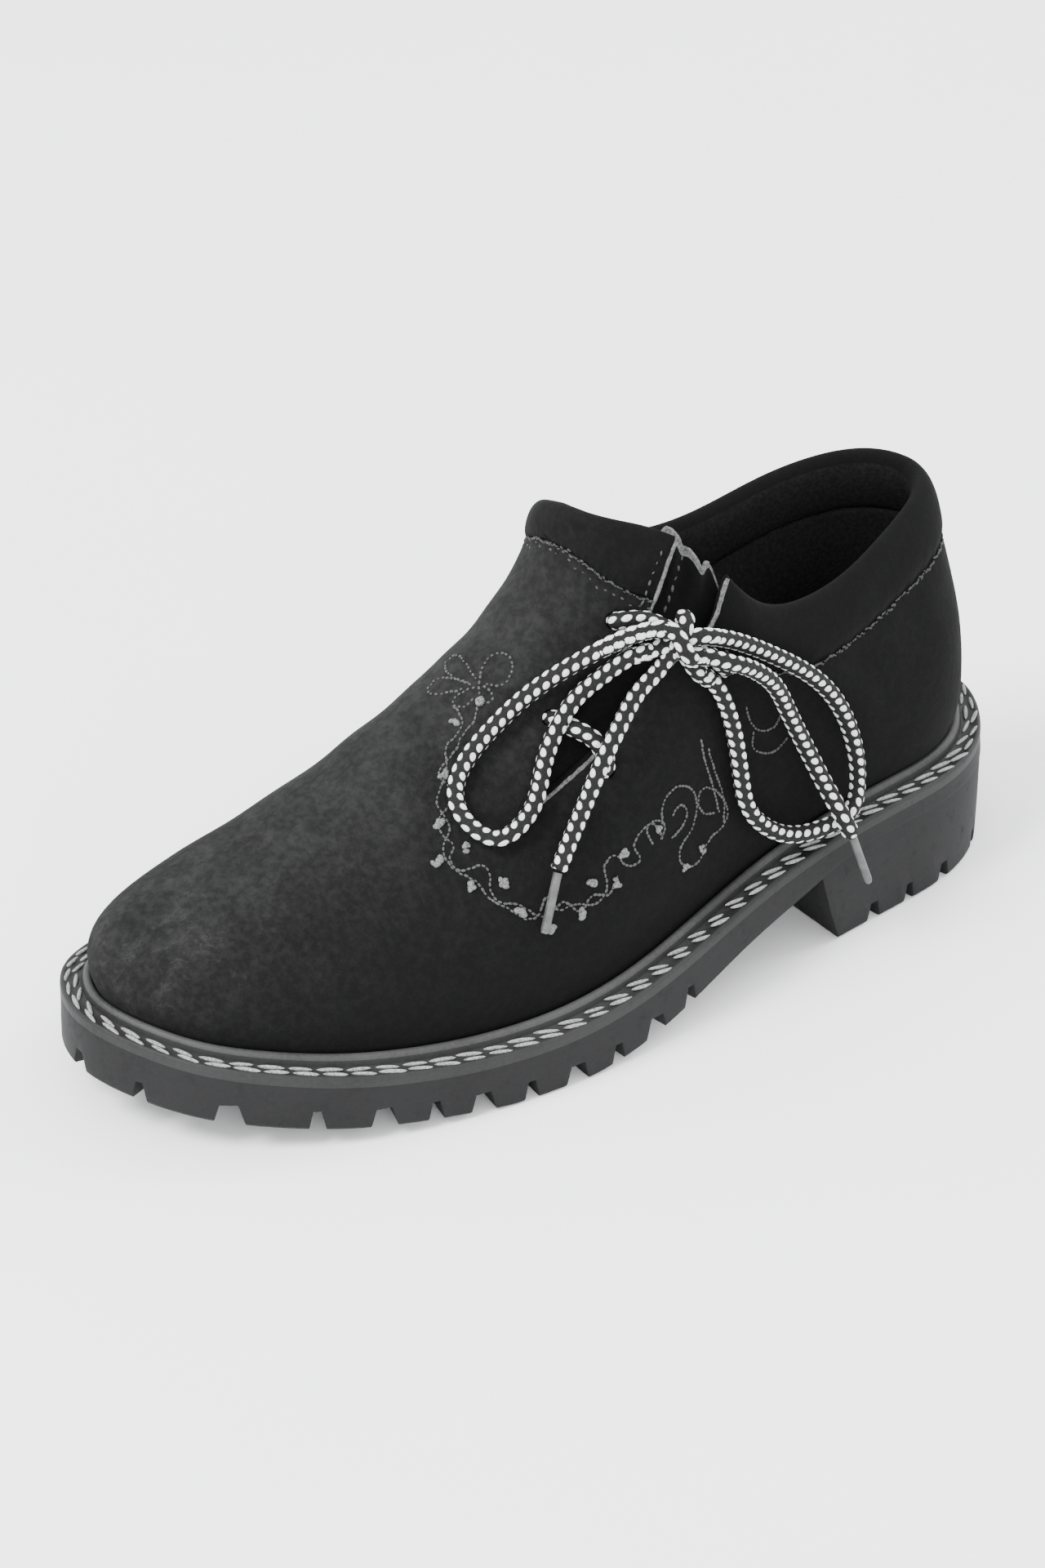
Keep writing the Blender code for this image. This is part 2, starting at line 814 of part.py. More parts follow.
def cord(name, route, material, radius=CORD_R, step=8.5, resolution=2):
    """A round cord with flat ends along a smooth line through its route."""
    p = np.array(route, float)
    key = np.concatenate([[0.0], np.cumsum(np.linalg.norm(np.diff(p, axis=0), axis=1) ** 0.5)])
    fine = spline(key, p, np.linspace(0.0, key[-1], 600))
    whole = np.linalg.norm(np.diff(fine, axis=0), axis=1).sum()
    line = resample(fine, max(4, int(round(whole / step)) + 1))
    curve = bpy.data.curves.new(name, "CURVE")
    curve.dimensions = "3D"
    curve.bevel_depth = radius * MM
    curve.bevel_resolution = resolution
    curve.use_fill_caps = True
    run = curve.splines.new("POLY")
    run.points.add(len(line) - 1)
    for k, q in enumerate(line):
        run.points[k].co = (q[0] * MM, q[1] * MM, q[2] * MM, 1.0)
    curve.materials.append(material)
    return bpy.data.objects.new(name, curve)


def knot_route():
    """Turn of cord over the top bar, from below it to above it."""
    at = np.array(KNOT_AT)
    t = np.array(KNOT_ALONG)
    t = t / np.linalg.norm(t)
    out = np.array(KNOT_OUT)
    out = out - t * out.dot(t)
    out = out / np.linalg.norm(out)
    down = np.cross(t, out)
    if down[2] > 0.0:
        down = -down
    route = []
    for k in range(9):
        a = math.radians(-14.0 + 208.0 * k / 8.0)
        route.append(at + (down * math.cos(a) + out * math.sin(a)) * KNOT_R)
    return route


def tip(name, ends, material):
    a = np.array(ends[0])
    b = np.array(ends[1])
    axis = Vector(b - a).normalized()
    side = axis.orthogonal().normalized()
    other = axis.cross(side)
    rings = []
    for share, r in ((0.0, AGLET_R), (0.93, AGLET_R), (1.0, AGLET_R * 0.75)):
        at = Vector(a + (b - a) * share)
        rings.append([tuple(at + (side * math.cos(x) + other * math.sin(x)) * r)
                      for x in (2.0 * math.pi * k / 12.0 for k in range(12))])
    pts, faces = rod(np.array(rings))
    return body(name, pts, faces, material)


def build():
    for ob in list(bpy.data.objects):
        bpy.data.objects.remove(ob, do_unlink=True)
    shoe = bpy.data.collections.new("side_laced_shoe")
    tools = bpy.data.collections.new("cutters")
    bpy.context.scene.collection.children.link(shoe)
    bpy.context.scene.collection.children.link(tools)

    suede = paint("black_suede", (0.022, 0.022, 0.023, 1.0), 0.95)
    lining = paint("dark_insole", (0.03, 0.03, 0.03, 1.0), 0.9)
    rubber = paint("grey_rubber", (0.075, 0.08, 0.085, 1.0), 0.6)
    strip = paint("grey_welt", (0.12, 0.12, 0.12, 1.0), 0.6)
    cord_paint = paint("checked_cord", (0.35, 0.35, 0.35, 1.0), 0.9)
    tip_paint = paint("grey_tip", (0.12, 0.12, 0.13, 1.0), 0.4)

    def top_of_sole(y):
        return ledge(y) - WELT_THICK - CLEAR

    h = STATIONS
    sides = [level(0.6, top_of_sole, h), level(0.0, lambda y: top_of_sole(y) - 0.6, h),
             level(-0.2, lambda y: 0.5 * (top_of_sole(y) + under(y)), h),
             level(-0.3, lambda y: under(y) + 0.6, h), level(0.3, under, h)]
    pts, faces = plate(sides, top_of_sole, under, h)
    outsole = body("outsole", pts, faces, rubber)
    notches = many("cutter_notches", notch_row(NOTCHES, lambda y: under(y)[0]))
    tip_at = EDGE[int(np.argmin(EDGE[:, 1]))]
    tip_low = under(tip_at[1])[0]
    toe_notch = many("cutter_toe_notch", [wedge(tip_at, np.array([1.0, 0.0]), np.array([0.0, 1.0]),
                                                tip_low - 2.0, tip_low + LUG_DEEP, 8.0, 2.8,
                                                4.0, NOTCH_LONG)])
    channels = []
    for side in (0, 1):
        line = split_sides(inset(CHANNEL_IN))[side]
        share = share_of(line[:, 1])
        line = line[(share > 0.50) & (share < 0.90)]
        channels.append(sweep_cutter(resample(line, 12), CHANNEL_WIDE,
                                     lambda y: under(y)[0] - 2.0, lambda y: under(y)[0] + 4.0))
    channel = many("cutter_channels", channels)
    grooves = []
    for share in CROSS_GROOVES:
        y = along(share)
        low = under(y)[0]
        ring = paired(inset(CHANNEL_IN), h)
        near = ring[abs(ring[:, 1] - y) < 5.0]
        a = near[:, 0].min()
        b = near[:, 0].max()
        grooves.append(wedge(np.array([0.5 * (a + b), y]), np.array([0.0, 1.0]), np.array([1.0, 0.0]),
                             low - 2.0, low + 4.0, 6.4, 2.4, 0.5 * (b - a), 0.5 * (b - a)))
    groove = many("cutter_grooves", grooves)
    for cutter in (notches, toe_notch, channel, groove):
        cut(outsole, cutter)

    breast_top = along(BREAST_AT)
    breast_low = along(BREAST_AT - 0.027)
    heel_sides = []
    for z_of, grow, breast in ((lambda y: under(y) - CLEAR, 0.0, breast_top),
                               (lambda y: 0.45 * under(y), 0.2, 0.55 * breast_low + 0.45 * breast_top),
                               (lambda y: 0.0 * y + 0.7, 0.3, breast_low),
                               (lambda y: 0.0 * y, -0.4, breast_low + 0.5)):
        ring = paired(inset(0.5 - grow), h)
        outer = ring[:h + 1]
        inner = np.vstack([ring[h:], ring[:1]])[::-1]
        half = []
        for side in (outer, inner):
            k = int(np.argmax(side[:, 1] < breast))
            f = (side[k - 1, 1] - breast) / (side[k - 1, 1] - side[k, 1])
            last = side[k - 1] + (side[k] - side[k - 1]) * f
            half.append(resample(np.vstack([side[:k], last]), 15))
        front = half[0][-1] + (half[1][-1] - half[0][-1]) * np.linspace(0.0, 1.0, 5)[1:-1, None]
        loop = np.vstack([half[0], front, half[1][::-1][:-1]])
        heel_sides.append(np.column_stack([loop, z_of(loop[:, 1])]))
    pts, faces = rod(np.array(heel_sides))
    heel = body("heel_block", pts, faces, rubber)
    heel_cut = many("cutter_heel_notches", notch_row(HEEL_NOTCHES, lambda y: 0.0))
    cut(heel, heel_cut)

    ring_sets = [level(d, lambda y, up=z: ledge(y) + up, h) for d, z in WELT_FORM]
    pts, faces = hoop(np.array(ring_sets).transpose(1, 0, 2))
    welt = body("welt", pts, faces, strip)

    def floor(y):
        return ledge(y) + 3.0

    def floor_low(y):
        return ledge(y) - WELT_THICK

    few = STATIONS // 2 + 4
    edge = WELT_INNER + CLEAR
    sides = [level(edge + 0.5, floor, few), level(edge, lambda y: floor(y) - 0.6, few),
             level(edge, floor_low, few)]
    pts, faces = plate(sides, floor, floor_low, few, 3)
    insole = body("insole", pts, faces, lining)

    upper = make_upper(suede)
    band = make_band(suede)
    slit = slit_cutter()
    holes = eyelet_cutter()
    cut(upper, slit)
    cut(upper, holes)
    cut(band, slit)
    gusset = make_gusset(suede)

    parts = [outsole, heel, welt, insole, upper, band, gusset,
             cord("lace_bar_top", BAR_TOP, cord_paint),
             cord("lace_bar_low", BAR_LOW, cord_paint),
             cord("lace_knot", knot_route(), cord_paint, step=3.6),
             cord("lace_loop_front", LOOP_FRONT, cord_paint),
             cord("lace_loop_rear", LOOP_REAR, cord_paint),
             cord("lace_end_front", END_FRONT, cord_paint),
             cord("lace_end_rear", END_REAR, cord_paint),
             tip("aglet_front", AGLET_FRONT, tip_paint),
             tip("aglet_rear", AGLET_REAR, tip_paint)]
    for ob in parts:
        shoe.objects.link(ob)
    for ob in (notches, toe_notch, channel, groove, heel_cut, slit, holes):
        ob.hide_render = True
        ob.display_type = "WIRE"
        tools.objects.link(ob)
    return parts


build()
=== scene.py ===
import math

import bmesh
import bpy
import numpy as np
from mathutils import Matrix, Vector
from mathutils.bvhtree import BVHTree


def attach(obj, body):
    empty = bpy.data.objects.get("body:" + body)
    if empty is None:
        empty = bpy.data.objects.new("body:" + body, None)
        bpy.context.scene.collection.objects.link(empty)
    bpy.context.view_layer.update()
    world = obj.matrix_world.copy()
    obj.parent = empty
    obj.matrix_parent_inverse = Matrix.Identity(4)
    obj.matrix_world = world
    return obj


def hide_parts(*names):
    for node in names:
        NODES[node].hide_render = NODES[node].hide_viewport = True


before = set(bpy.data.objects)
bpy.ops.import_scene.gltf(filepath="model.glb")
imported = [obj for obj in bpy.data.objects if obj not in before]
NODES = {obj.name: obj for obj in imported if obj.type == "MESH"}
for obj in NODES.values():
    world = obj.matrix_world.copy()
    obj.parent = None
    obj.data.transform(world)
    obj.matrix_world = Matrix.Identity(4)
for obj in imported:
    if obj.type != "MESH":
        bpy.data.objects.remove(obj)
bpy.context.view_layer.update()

# The shoe's sizes are in millimetres here, as its maker's tables give them. Heel at +Y, toe at -Y.
MM = 0.001
LENGTH = 300.0
CLEAR = 0.3
WALL = 2.0
WELT_THICK = 3.0
FOOT_INSET = 9.8
LUG_DEEP = 6.0
BREAST_AT = 0.300
CORD_R = 2.4
COLUMNS = 4
FLOAT_PITCH = 3.2
FLOAT_WIDE = 1.02
FLOAT_LONG = 1.34
FLOAT_TURN = 0.72
HALVES = 120
FINE = 121

SOLE_EDGE = [
    # share of the length from the heel, outer reach, inner reach
    (0.030, 21.0, 20.0), (0.075, 34.0, 30.0), (0.130, 41.0, 35.0), (0.200, 44.5, 36.5),
    (0.280, 47.8, 36.0), (0.360, 51.8, 35.5), (0.440, 56.5, 37.0), (0.520, 60.4, 42.0),
    (0.600, 61.8, 47.5), (0.680, 60.3, 51.5), (0.760, 56.2, 52.5), (0.830, 50.0, 50.5),
    (0.890, 41.0, 46.0), (0.940, 30.5, 38.5), (0.975, 17.0, 28.5),
]
HEEL_TIP = -1.0
TOE_TIP = -7.0
SOLE_HIGH = [
    # share, top of the welt's ledge, underside of the sole layer
    (0.00, 36.4, 27.4), (0.15, 36.1, 27.1), (0.25, 35.4, 26.4), (0.33, 33.1, 20.8),
    (0.40, 29.6, 15.6), (0.46, 25.4, 9.8), (0.52, 21.2, 4.2), (0.57, 18.6, 1.0),
    (0.62, 17.2, -0.4), (0.67, 17.0, -0.2), (0.73, 17.8, 1.4), (0.79, 19.6, 3.2),
    (0.86, 22.4, 5.6), (0.93, 26.2, 8.9), (1.00, 31.0, 12.8),
]
TOP_OUTER = [
    # share, across, height of the collar's top line on the laced side
    (0.075, 8.0, 112.0), (0.120, 17.0, 110.5), (0.170, 23.5, 107.5), (0.220, 28.0, 104.5),
    (0.280, 31.0, 103.5), (0.330, 31.8, 108.0), (0.370, 30.8, 120.0), (0.400, 28.2, 130.0),
    (0.430, 23.5, 136.0), (0.460, 16.0, 138.5), (0.480, 6.5, 139.0),
]
TOP_INNER = [
    (0.065, 17.0, 112.0), (0.100, 26.0, 110.5), (0.150, 32.0, 107.0), (0.200, 34.8, 103.0),
    (0.260, 36.0, 99.5), (0.330, 35.5, 101.5), (0.380, 33.0, 109.5), (0.420, 29.0, 119.5),
    (0.455, 22.0, 129.0), (0.477, 13.0, 135.0),
]
TOP_BACK = (0.052, -5.0, 112.0)
TOP_FRONT = (0.485, -4.0, 138.0)
SPREAD = [
    # share along the sole, share round the top line
    (0.00, 0.000), (0.10, 0.080), (0.20, 0.165), (0.30, 0.250), (0.40, 0.305), (0.50, 0.348),
    (0.60, 0.382), (0.70, 0.410), (0.80, 0.437), (0.90, 0.465), (1.00, 0.500),
]
RISE = [
    # place, then five pairs: share run inward, share risen
    (0.00, -0.35, 0.18, -0.30, 0.38, 0.00, 0.58, 0.42, 0.76, 0.80, 0.90),
    (0.20, -0.30, 0.16, -0.20, 0.36, 0.12, 0.56, 0.50, 0.76, 0.82, 0.90),
    (0.40, -0.06, 0.14, 0.08, 0.32, 0.32, 0.54, 0.60, 0.74, 0.85, 0.90),
    (0.60, -0.03, 0.13, 0.05, 0.24, 0.26, 0.40, 0.55, 0.59, 0.85, 0.82),
    (0.80, -0.02, 0.11, 0.05, 0.195, 0.28, 0.32, 0.58, 0.50, 0.89, 0.78),
    (1.00, -0.015, 0.10, 0.03, 0.185, 0.27, 0.30, 0.62, 0.50, 0.94, 0.79),
]
SLIT = [
    # front share, front height, rear share, rear height
    (0.385, 152.0, 0.340, 140.0), (0.414, 136.0, 0.362, 124.0), (0.430, 127.6, 0.380, 116.5),
    (0.447, 118.0, 0.394, 109.5), (0.470, 109.5, 0.426, 104.0), (0.497, 102.1, 0.460, 99.4),
    (0.522, 96.4, 0.485, 94.2), (0.543, 91.0, 0.506, 88.8), (0.561, 85.6, 0.529, 83.4),
    (0.577, 80.2, 0.560, 78.0), (0.590, 75.8, 0.588, 73.6), (0.602, 72.6, 0.603, 71.6),
]
EYELETS = [
    # middle, then the way out of the upper there
    ((18.1, 5.9, 113.2), (0.68, -0.59, 0.43)),
    ((19.3, -16.0, 90.9), (0.60, -0.47, 0.64)),
    ((33.9, -8.4, 79.3), (0.84, -0.30, 0.45)),
    ((31.8, 33.9, 95.2), (0.97, 0.09, 0.22)),
]
EYELET_R = 2.6
GUSSET = [
    # place round the upper, height of its low edge, depth of its top edge below the top line
    (0.190, 62.0, 13.0), (0.222, 60.0, 4.0), (0.250, 58.0, 3.0), (0.280, 55.0, 2.6),
    (0.310, 55.0, 4.0), (0.340, 58.0, 15.0), (0.365, 64.0, 28.0), (0.386, 76.0, 42.0),
]
GUSSET_THICK = 1.4
GUSSET_TOP = [
    # place, depth of the raw top edge below the top line
    (0.190, 13.0), (0.212, 6.0), (0.224, 1.4), (0.233, -0.6), (0.242, 2.4), (0.252, 3.2), (0.263, 1.4),
    (0.276, 2.0), (0.288, 0.4), (0.300, -0.8), (0.309, 0.6), (0.322, 8.0), (0.340, 15.0), (0.365, 28.0),
    (0.386, 42.0),
]
BAND_HIGH = [
    # place round the top line, height of the padded band
    (0.000, 19.0), (0.310, 18.5), (0.345, 18.0), (0.376, 15.8), (0.406, 13.0), (0.440, 10.8),
    (0.500, 10.5), (0.575, 11.7), (0.650, 14.0), (0.720, 17.0), (0.800, 19.0), (1.000, 19.0),
]
BAND_FORM = [
    # up from the seam as a share of the band, out of the upper's face
    (0.00, 0.0), (0.10, 0.8), (0.42, 1.5), (0.74, 1.1), (0.94, -0.4), (1.00, -2.6),
    (0.94, -4.6), (0.70, -5.6), (0.36, -4.6), (0.08, -3.0), (0.00, -2.0),
]
NOTCHES = [
    # share, width at the tread, width at the root
    (0.478, 4.8, 2.2), (0.522, 7.8, 4.4), (0.567, 4.8, 2.2), (0.615, 7.8, 4.4),
    (0.662, 4.8, 2.2), (0.711, 7.8, 4.4), (0.758, 4.8, 2.2), (0.806, 7.8, 4.4),
    (0.862, 4.8, 2.2), (0.928, 8.6, 5.0), (0.980, 4.8, 2.2),
]
HEEL_NOTCHES = [(0.225, 5.4, 2.8), (0.175, 4.2, 2.0), (0.125, 5.4, 2.8), (0.062, 4.2, 2.0)]
NOTCH_LONG = 15.5
CHANNEL_IN = 17.5
CHANNEL_WIDE = 3.6
CROSS_GROOVES = [0.56, 0.63, 0.70, 0.77, 0.84]

# The cord's routes, the same as those of its solids.
BAR_TOP = [(21.8, 6.1, 115.2), (25.1, 11.0, 115.1), (29.8, 17.5, 110.8), (33.1, 24.1, 105.2), (34.4, 28.7, 100.6)]
BAR_LOW = [(27.0, -13.5, 90.2), (28.8, -12.2, 89.5), (31.2, -10.5, 87.9), (33.5, -9.1, 85.9)]
KNOT_AT = (29.8, 17.5, 110.8)
KNOT_ALONG = (0.40, 0.74, -0.54)
KNOT_OUT = (0.92, -0.21, 0.34)
KNOT_R = 5.1
KNOT_HEART = (33.4, 15.4, 110.6)
LOOP_FRONT = [
    (35.4, 12.6, 115.6), (30.6, 7.6, 115.4), (23.4, -3.4, 109.6), (15.8, -19.0, 99.2),
    (13.7, -32.4, 89.9), (15.2, -42.8, 82.4), (19.2, -47.6, 76.7), (25.6, -47.6, 71.7),
    (31.5, -42.7, 68.5), (32.6, -35.8, 70.9), (30.9, -29.5, 76.0), (26.8, -23.4, 84.8),
    (24.6, -16.4, 93.2), (24.2, -11.0, 98.2), (25.6, -4.6, 102.6), (28.4, 3.6, 107.6),
    (30.4, 9.6, 108.6),
]
END_FRONT = [
    (32.0, 10.2, 102.9), (32.6, 4.8, 100.1), (33.8, -0.3, 96.8), (36.0, -5.7, 92.6),
    (37.7, -10.7, 88.0), (38.7, -15.2, 81.8), (39.4, -19.4, 75.0), (41.3, -25.8, 66.6),
    (43.4, -31.1, 60.2),
]
LOOP_REAR = [
    (36.4, 20.6, 112.0), (36.6, 27.5, 109.4), (36.0, 36.0, 104.6), (35.6, 50.3, 94.6),
    (35.8, 63.8, 82.8), (36.8, 71.8, 70.5), (38.6, 75.3, 57.6), (41.0, 74.4, 48.4),
    (44.5, 69.1, 43.3), (44.3, 59.2, 41.2), (43.2, 49.1, 42.3), (42.4, 40.9, 47.4),
    (41.7, 34.6, 56.0), (40.4, 32.8, 66.8), (38.6, 31.2, 80.8), (37.2, 28.2, 91.4),
    (36.4, 25.0, 97.0), (36.0, 21.0, 100.6),
]
END_REAR = [
    (36.7, 17.6, 107.5), (39.2, 22.0, 106.3), (41.2, 27.8, 103.6), (41.0, 33.3, 100.5),
    (39.6, 43.7, 91.3), (39.0, 49.9, 80.3), (40.2, 56.1, 66.4), (44.4, 60.2, 54.6),
    (50.0, 61.6, 47.6), (51.5, 64.2, 41.0),
]

# Stitched vine round the opening: each line is drawn on the upper through a few places.
VINE = [
    [(-0.7, -34.1, 90.9), (4.0, -34.6, 88.9), (5.6, -37.9, 86.3), (6.3, -41.8, 83.8), (9.4, -43.6, 81.1),
     (12.4, -47.4, 77.4), (14.6, -50.6, 74.2), (18.3, -50.7, 71.6), (21.3, -51.0, 69.3), (23.2, -54.6, 66.1),
     (27.3, -55.3, 62.5), (31.0, -52.9, 60.1), (33.9, -50.6, 58.1), (37.4, -49.4, 54.8), (40.5, -45.9, 52.2),
     (43.2, -42.2, 49.0), (43.9, -38.1, 49.0), (42.8, -34.3, 52.7), (44.7, -32.3, 48.9), (45.1, -27.7, 48.9),
     (45.7, -22.1, 47.1), (45.5, -17.6, 47.8), (44.6, -15.6, 51.7), (43.4, -15.6, 56.0), (43.0, -11.9, 57.8),
     (43.9, -8.3, 53.5), (43.6, -3.8, 53.9), (43.0, -5.2, 57.4), (42.0, -3.1, 60.9), (41.5, 1.7, 62.1),
     (42.2, 4.5, 57.1)],
    [(3.3, -29.3, 92.3), (6.1, -32.5, 89.2), (6.8, -36.6, 86.4), (8.5, -40.6, 83.2), (9.8, -46.6, 79.4),
     (14.4, -46.1, 76.7), (17.2, -49.1, 73.2), (17.9, -52.4, 71.1), (21.1, -53.4, 68.3), (24.7, -52.2, 66.0),
     (26.2, -54.5, 63.8), (29.6, -53.4, 61.2), (31.2, -48.1, 61.8), (33.9, -46.8, 59.7), (35.9, -48.3, 57.0),
     (38.9, -47.3, 53.9), (40.8, -43.6, 52.7), (43.0, -40.1, 50.3), (44.6, -35.6, 48.2), (44.4, -29.8, 50.2),
     (45.9, -25.5, 46.3), (45.2, -21.2, 49.2), (45.5, -15.9, 47.9), (44.5, -12.0, 51.5)],
]
BLOSSOM = [
    [(-0.6, -25.9, 95.9), (-3.4, -22.0, 99.2), (-3.1, -18.4, 101.7), (1.4, -17.1, 101.6), (4.7, -18.9, 99.0),
     (4.8, -22.1, 96.5), (1.5, -24.8, 95.9)],
    [(-2.3, -25.9, 96.3), (-8.3, -24.9, 97.9), (-14.8, -24.1, 96.7), (-15.2, -26.4, 95.1), (-8.4, -29.3, 95.1),
     (-3.3, -27.8, 95.3)],
    [(-2.4, -27.8, 95.1), (-8.4, -29.9, 94.8), (-12.7, -32.7, 92.5), (-9.9, -35.8, 91.3), (-6.9, -34.1, 92.1),
     (-2.9, -30.0, 93.8)],
    [(-0.7, -27.7, 94.7), (-2.4, -30.9, 93.2), (-2.0, -33.8, 91.4), (0.9, -32.7, 91.2), (1.4, -29.8, 92.8)],
    [(0.6, -26.8, 95.0), (3.4, -28.1, 93.1), (5.7, -26.5, 93.1), (4.6, -25.2, 94.5), (1.5, -25.5, 95.5)],
]
SCROLL = [
    [(41.4, 5.1, 61.4), (40.3, 6.4, 66.4), (39.5, 10.3, 69.1), (39.2, 15.1, 68.2), (39.4, 18.0, 64.2),
     (40.2, 17.8, 59.2), (41.2, 15.1, 54.5), (42.2, 11.2, 51.6), (42.9, 10.7, 47.2), (42.6, 15.0, 44.2),
     (41.8, 18.8, 45.5), (40.9, 22.1, 49.3), (40.0, 26.7, 50.9), (39.2, 29.5, 53.8), (38.7, 28.5, 58.9),
     (38.5, 25.5, 62.9)],
    [(38.5, 25.5, 62.9), (38.8, 21.3, 65.2), (39.5, 18.9, 62.7), (39.9, 20.6, 58.0), (39.6, 24.2, 56.6)],
    [(42.6, 1.0, 56.8), (41.8, -0.1, 61.6), (41.3, 3.2, 62.6), (41.6, 6.0, 59.9), (42.2, 4.5, 57.1)],
    [(40.9, 9.4, 62.0), (40.2, 12.4, 63.6), (40.5, 14.3, 60.6), (41.3, 11.7, 57.1), (42.0, 8.4, 55.6)],
    [(36.5, 21.9, 78.8), (37.5, 22.5, 73.3), (38.2, 24.1, 66.9), (38.8, 25.4, 61.3), (39.3, 26.4, 56.2)],
    [(36.9, 24.2, 75.4), (37.6, 25.6, 69.8), (38.1, 27.4, 63.9), (38.8, 28.6, 57.6), (39.6, 27.9, 52.7)],
    [(33.7, 39.6, 81.8), (34.4, 41.0, 76.8), (34.5, 44.6, 73.2), (33.9, 49.4, 72.8), (33.3, 52.2, 74.8)],
    [(34.8, 41.4, 73.8), (35.4, 40.7, 70.1), (35.5, 43.0, 67.5), (35.1, 48.1, 65.7), (34.2, 53.4, 67.5)],
]
BERRIES = [
    # place, radius of the raised knot
    ((3.7, -28.3, 92.8), 1.05), ((2.9, -36.4, 88.3), 1.05), ((11.0, -45.1, 79.4), 1.15),
    ((18.9, -52.8, 70.2), 1.15), ((25.2, -57.5, 63.4), 1.25), ((33.1, -52.6, 58.2), 1.15),
    ((36.6, -44.4, 57.7), 1.2), ((26.9, -49.4, 65.3), 1.0), ((42.4, -42.6, 50.4), 1.2),
    ((46.0, -36.0, 44.0), 1.25), ((46.2, -25.0, 45.3), 1.15), ((44.2, -20.1, 52.8), 1.1),
    ((45.0, -12.9, 49.7), 1.1), ((43.2, -8.8, 57.0), 1.1), ((41.8, 3.5, 60.3), 0.9),
    ((41.6, 19.0, 47.7), 0.8), ((42.9, 12.1, 45.4), 0.8),
]

# Soft creases of the upper, each through a few places on it.
CREASES = [
    # places, half width, depth (a ridge is negative)
    ([(-34.0, -28.0, 62.0), (-22.0, -40.0, 76.0), (-4.0, -50.0, 80.0), (12.0, -58.0, 72.0)], 7.0, 0.55),
    ([(-40.0, -44.0, 45.0), (-28.0, -56.0, 62.0), (-8.0, -66.0, 69.0), (16.0, -74.0, 60.0)], 8.0, 0.5),
    ([(-30.0, -6.0, 84.0), (-18.0, -12.0, 98.0), (-4.0, -16.0, 103.0), (8.0, -20.0, 98.0)], 5.5, 0.6),
    ([(36.0, 44.0, 84.0), (34.0, 58.0, 76.0), (34.0, 72.0, 64.0), (36.0, 84.0, 50.0)], 6.0, 0.7),
    ([(30.0, 62.0, 90.0), (28.0, 78.0, 84.0), (27.0, 92.0, 72.0)], 4.5, 0.7),
    ([(20.0, 104.0, 92.0), (22.0, 106.0, 80.0), (27.0, 104.0, 64.0)], 5.0, 0.5),
    ([(-34.0, 60.0, 84.0), (-36.0, 48.0, 70.0), (-38.0, 34.0, 56.0)], 6.0, 0.7),
    ([(-34.0, 88.0, 88.0), (-36.0, 80.0, 72.0), (-37.0, 66.0, 56.0)], 5.0, 0.6),
    ([(-30.0, 14.0, 96.0), (-34.0, 8.0, 80.0), (-38.0, -4.0, 62.0)], 5.0, 0.5),
    ([(42.0, -60.0, 40.0), (34.0, -74.0, 50.0), (20.0, -88.0, 54.0)], 7.0, 0.4),
    ([(-40.0, -72.0, 38.0), (-30.0, -86.0, 50.0), (-14.0, -96.0, 54.0)], 7.0, 0.4),
    ([(44.0, 10.0, 44.0), (45.0, -8.0, 40.0), (46.0, -28.0, 36.0)], 6.0, -0.45),
]


def spline(knots, values, at):
    """Natural cubic through (knots, values), read at the places asked."""
    x = np.asarray(knots, float)
    y = np.asarray(values, float)
    n = len(x)
    h = np.diff(x)
    a = np.zeros((n, n))
    b = np.zeros((n,) + y.shape[1:])
    a[0, 0] = a[-1, -1] = 1.0
    for i in range(1, n - 1):
        a[i, i - 1:i + 2] = h[i - 1], 2.0 * (h[i - 1] + h[i]), h[i]
        b[i] = 6.0 * ((y[i + 1] - y[i]) / h[i] - (y[i] - y[i - 1]) / h[i - 1])
    m = np.linalg.solve(a, b)
    at = np.atleast_1d(np.asarray(at, float))
    k = np.clip(np.searchsorted(x, at) - 1, 0, n - 2)
    t, r, g = at - x[k], x[k + 1] - at, h[k]
    if y.ndim > 1:
        t, r, g = t[:, None], r[:, None], g[:, None]
    return (m[k] * r ** 3 + m[k + 1] * t ** 3) / (6.0 * g) + (y[k] / g - m[k] * g / 6.0) * r \
        + (y[k + 1] / g - m[k + 1] * g / 6.0) * t


def runs_of(points):
    return np.concatenate([[0.0], np.cumsum(np.linalg.norm(np.diff(points, axis=0), axis=1))])


def resample(line, count):
    run = runs_of(line)
    want = np.linspace(0.0, run[-1], count)
    return np.column_stack([np.interp(want, run, line[:, k]) for k in range(line.shape[1])])


def smooth_line(route, step):
    """A smooth line through the route with a point about every step."""
    p = np.array(route, float)
    key = np.concatenate([[0.0], np.cumsum(np.linalg.norm(np.diff(p, axis=0), axis=1) ** 0.5)])
    fine = spline(key, p, np.linspace(0.0, key[-1], 900))
    return resample(fine, max(4, int(round(runs_of(fine)[-1] / step)) + 1))


def closed(points, count):
    p = np.asarray(points, float)
    n = len(p)
    p = np.vstack([p[-4:], p, p[:5]])
    key = np.concatenate([[0.0], np.cumsum(np.linalg.norm(np.diff(p, axis=0), axis=1) ** 0.5)])
    q = spline(key, p, np.linspace(key[4], key[4 + n], 1601))
    return resample(q, count + 1)[:-1]


def along(share):
    return LENGTH * (0.5 - share)


def share_of(y):
    return 0.5 - np.asarray(y) / LENGTH


def ledge(y):
    rows = np.array(SOLE_HIGH)
    return spline(rows[:, 0], rows[:, 1], np.clip(share_of(y), 0.0, 1.0))


def under(y):
    rows = np.array(SOLE_HIGH)
    return np.maximum(spline(rows[:, 0], rows[:, 2], np.clip(share_of(y), 0.0, 1.0)), 0.0)


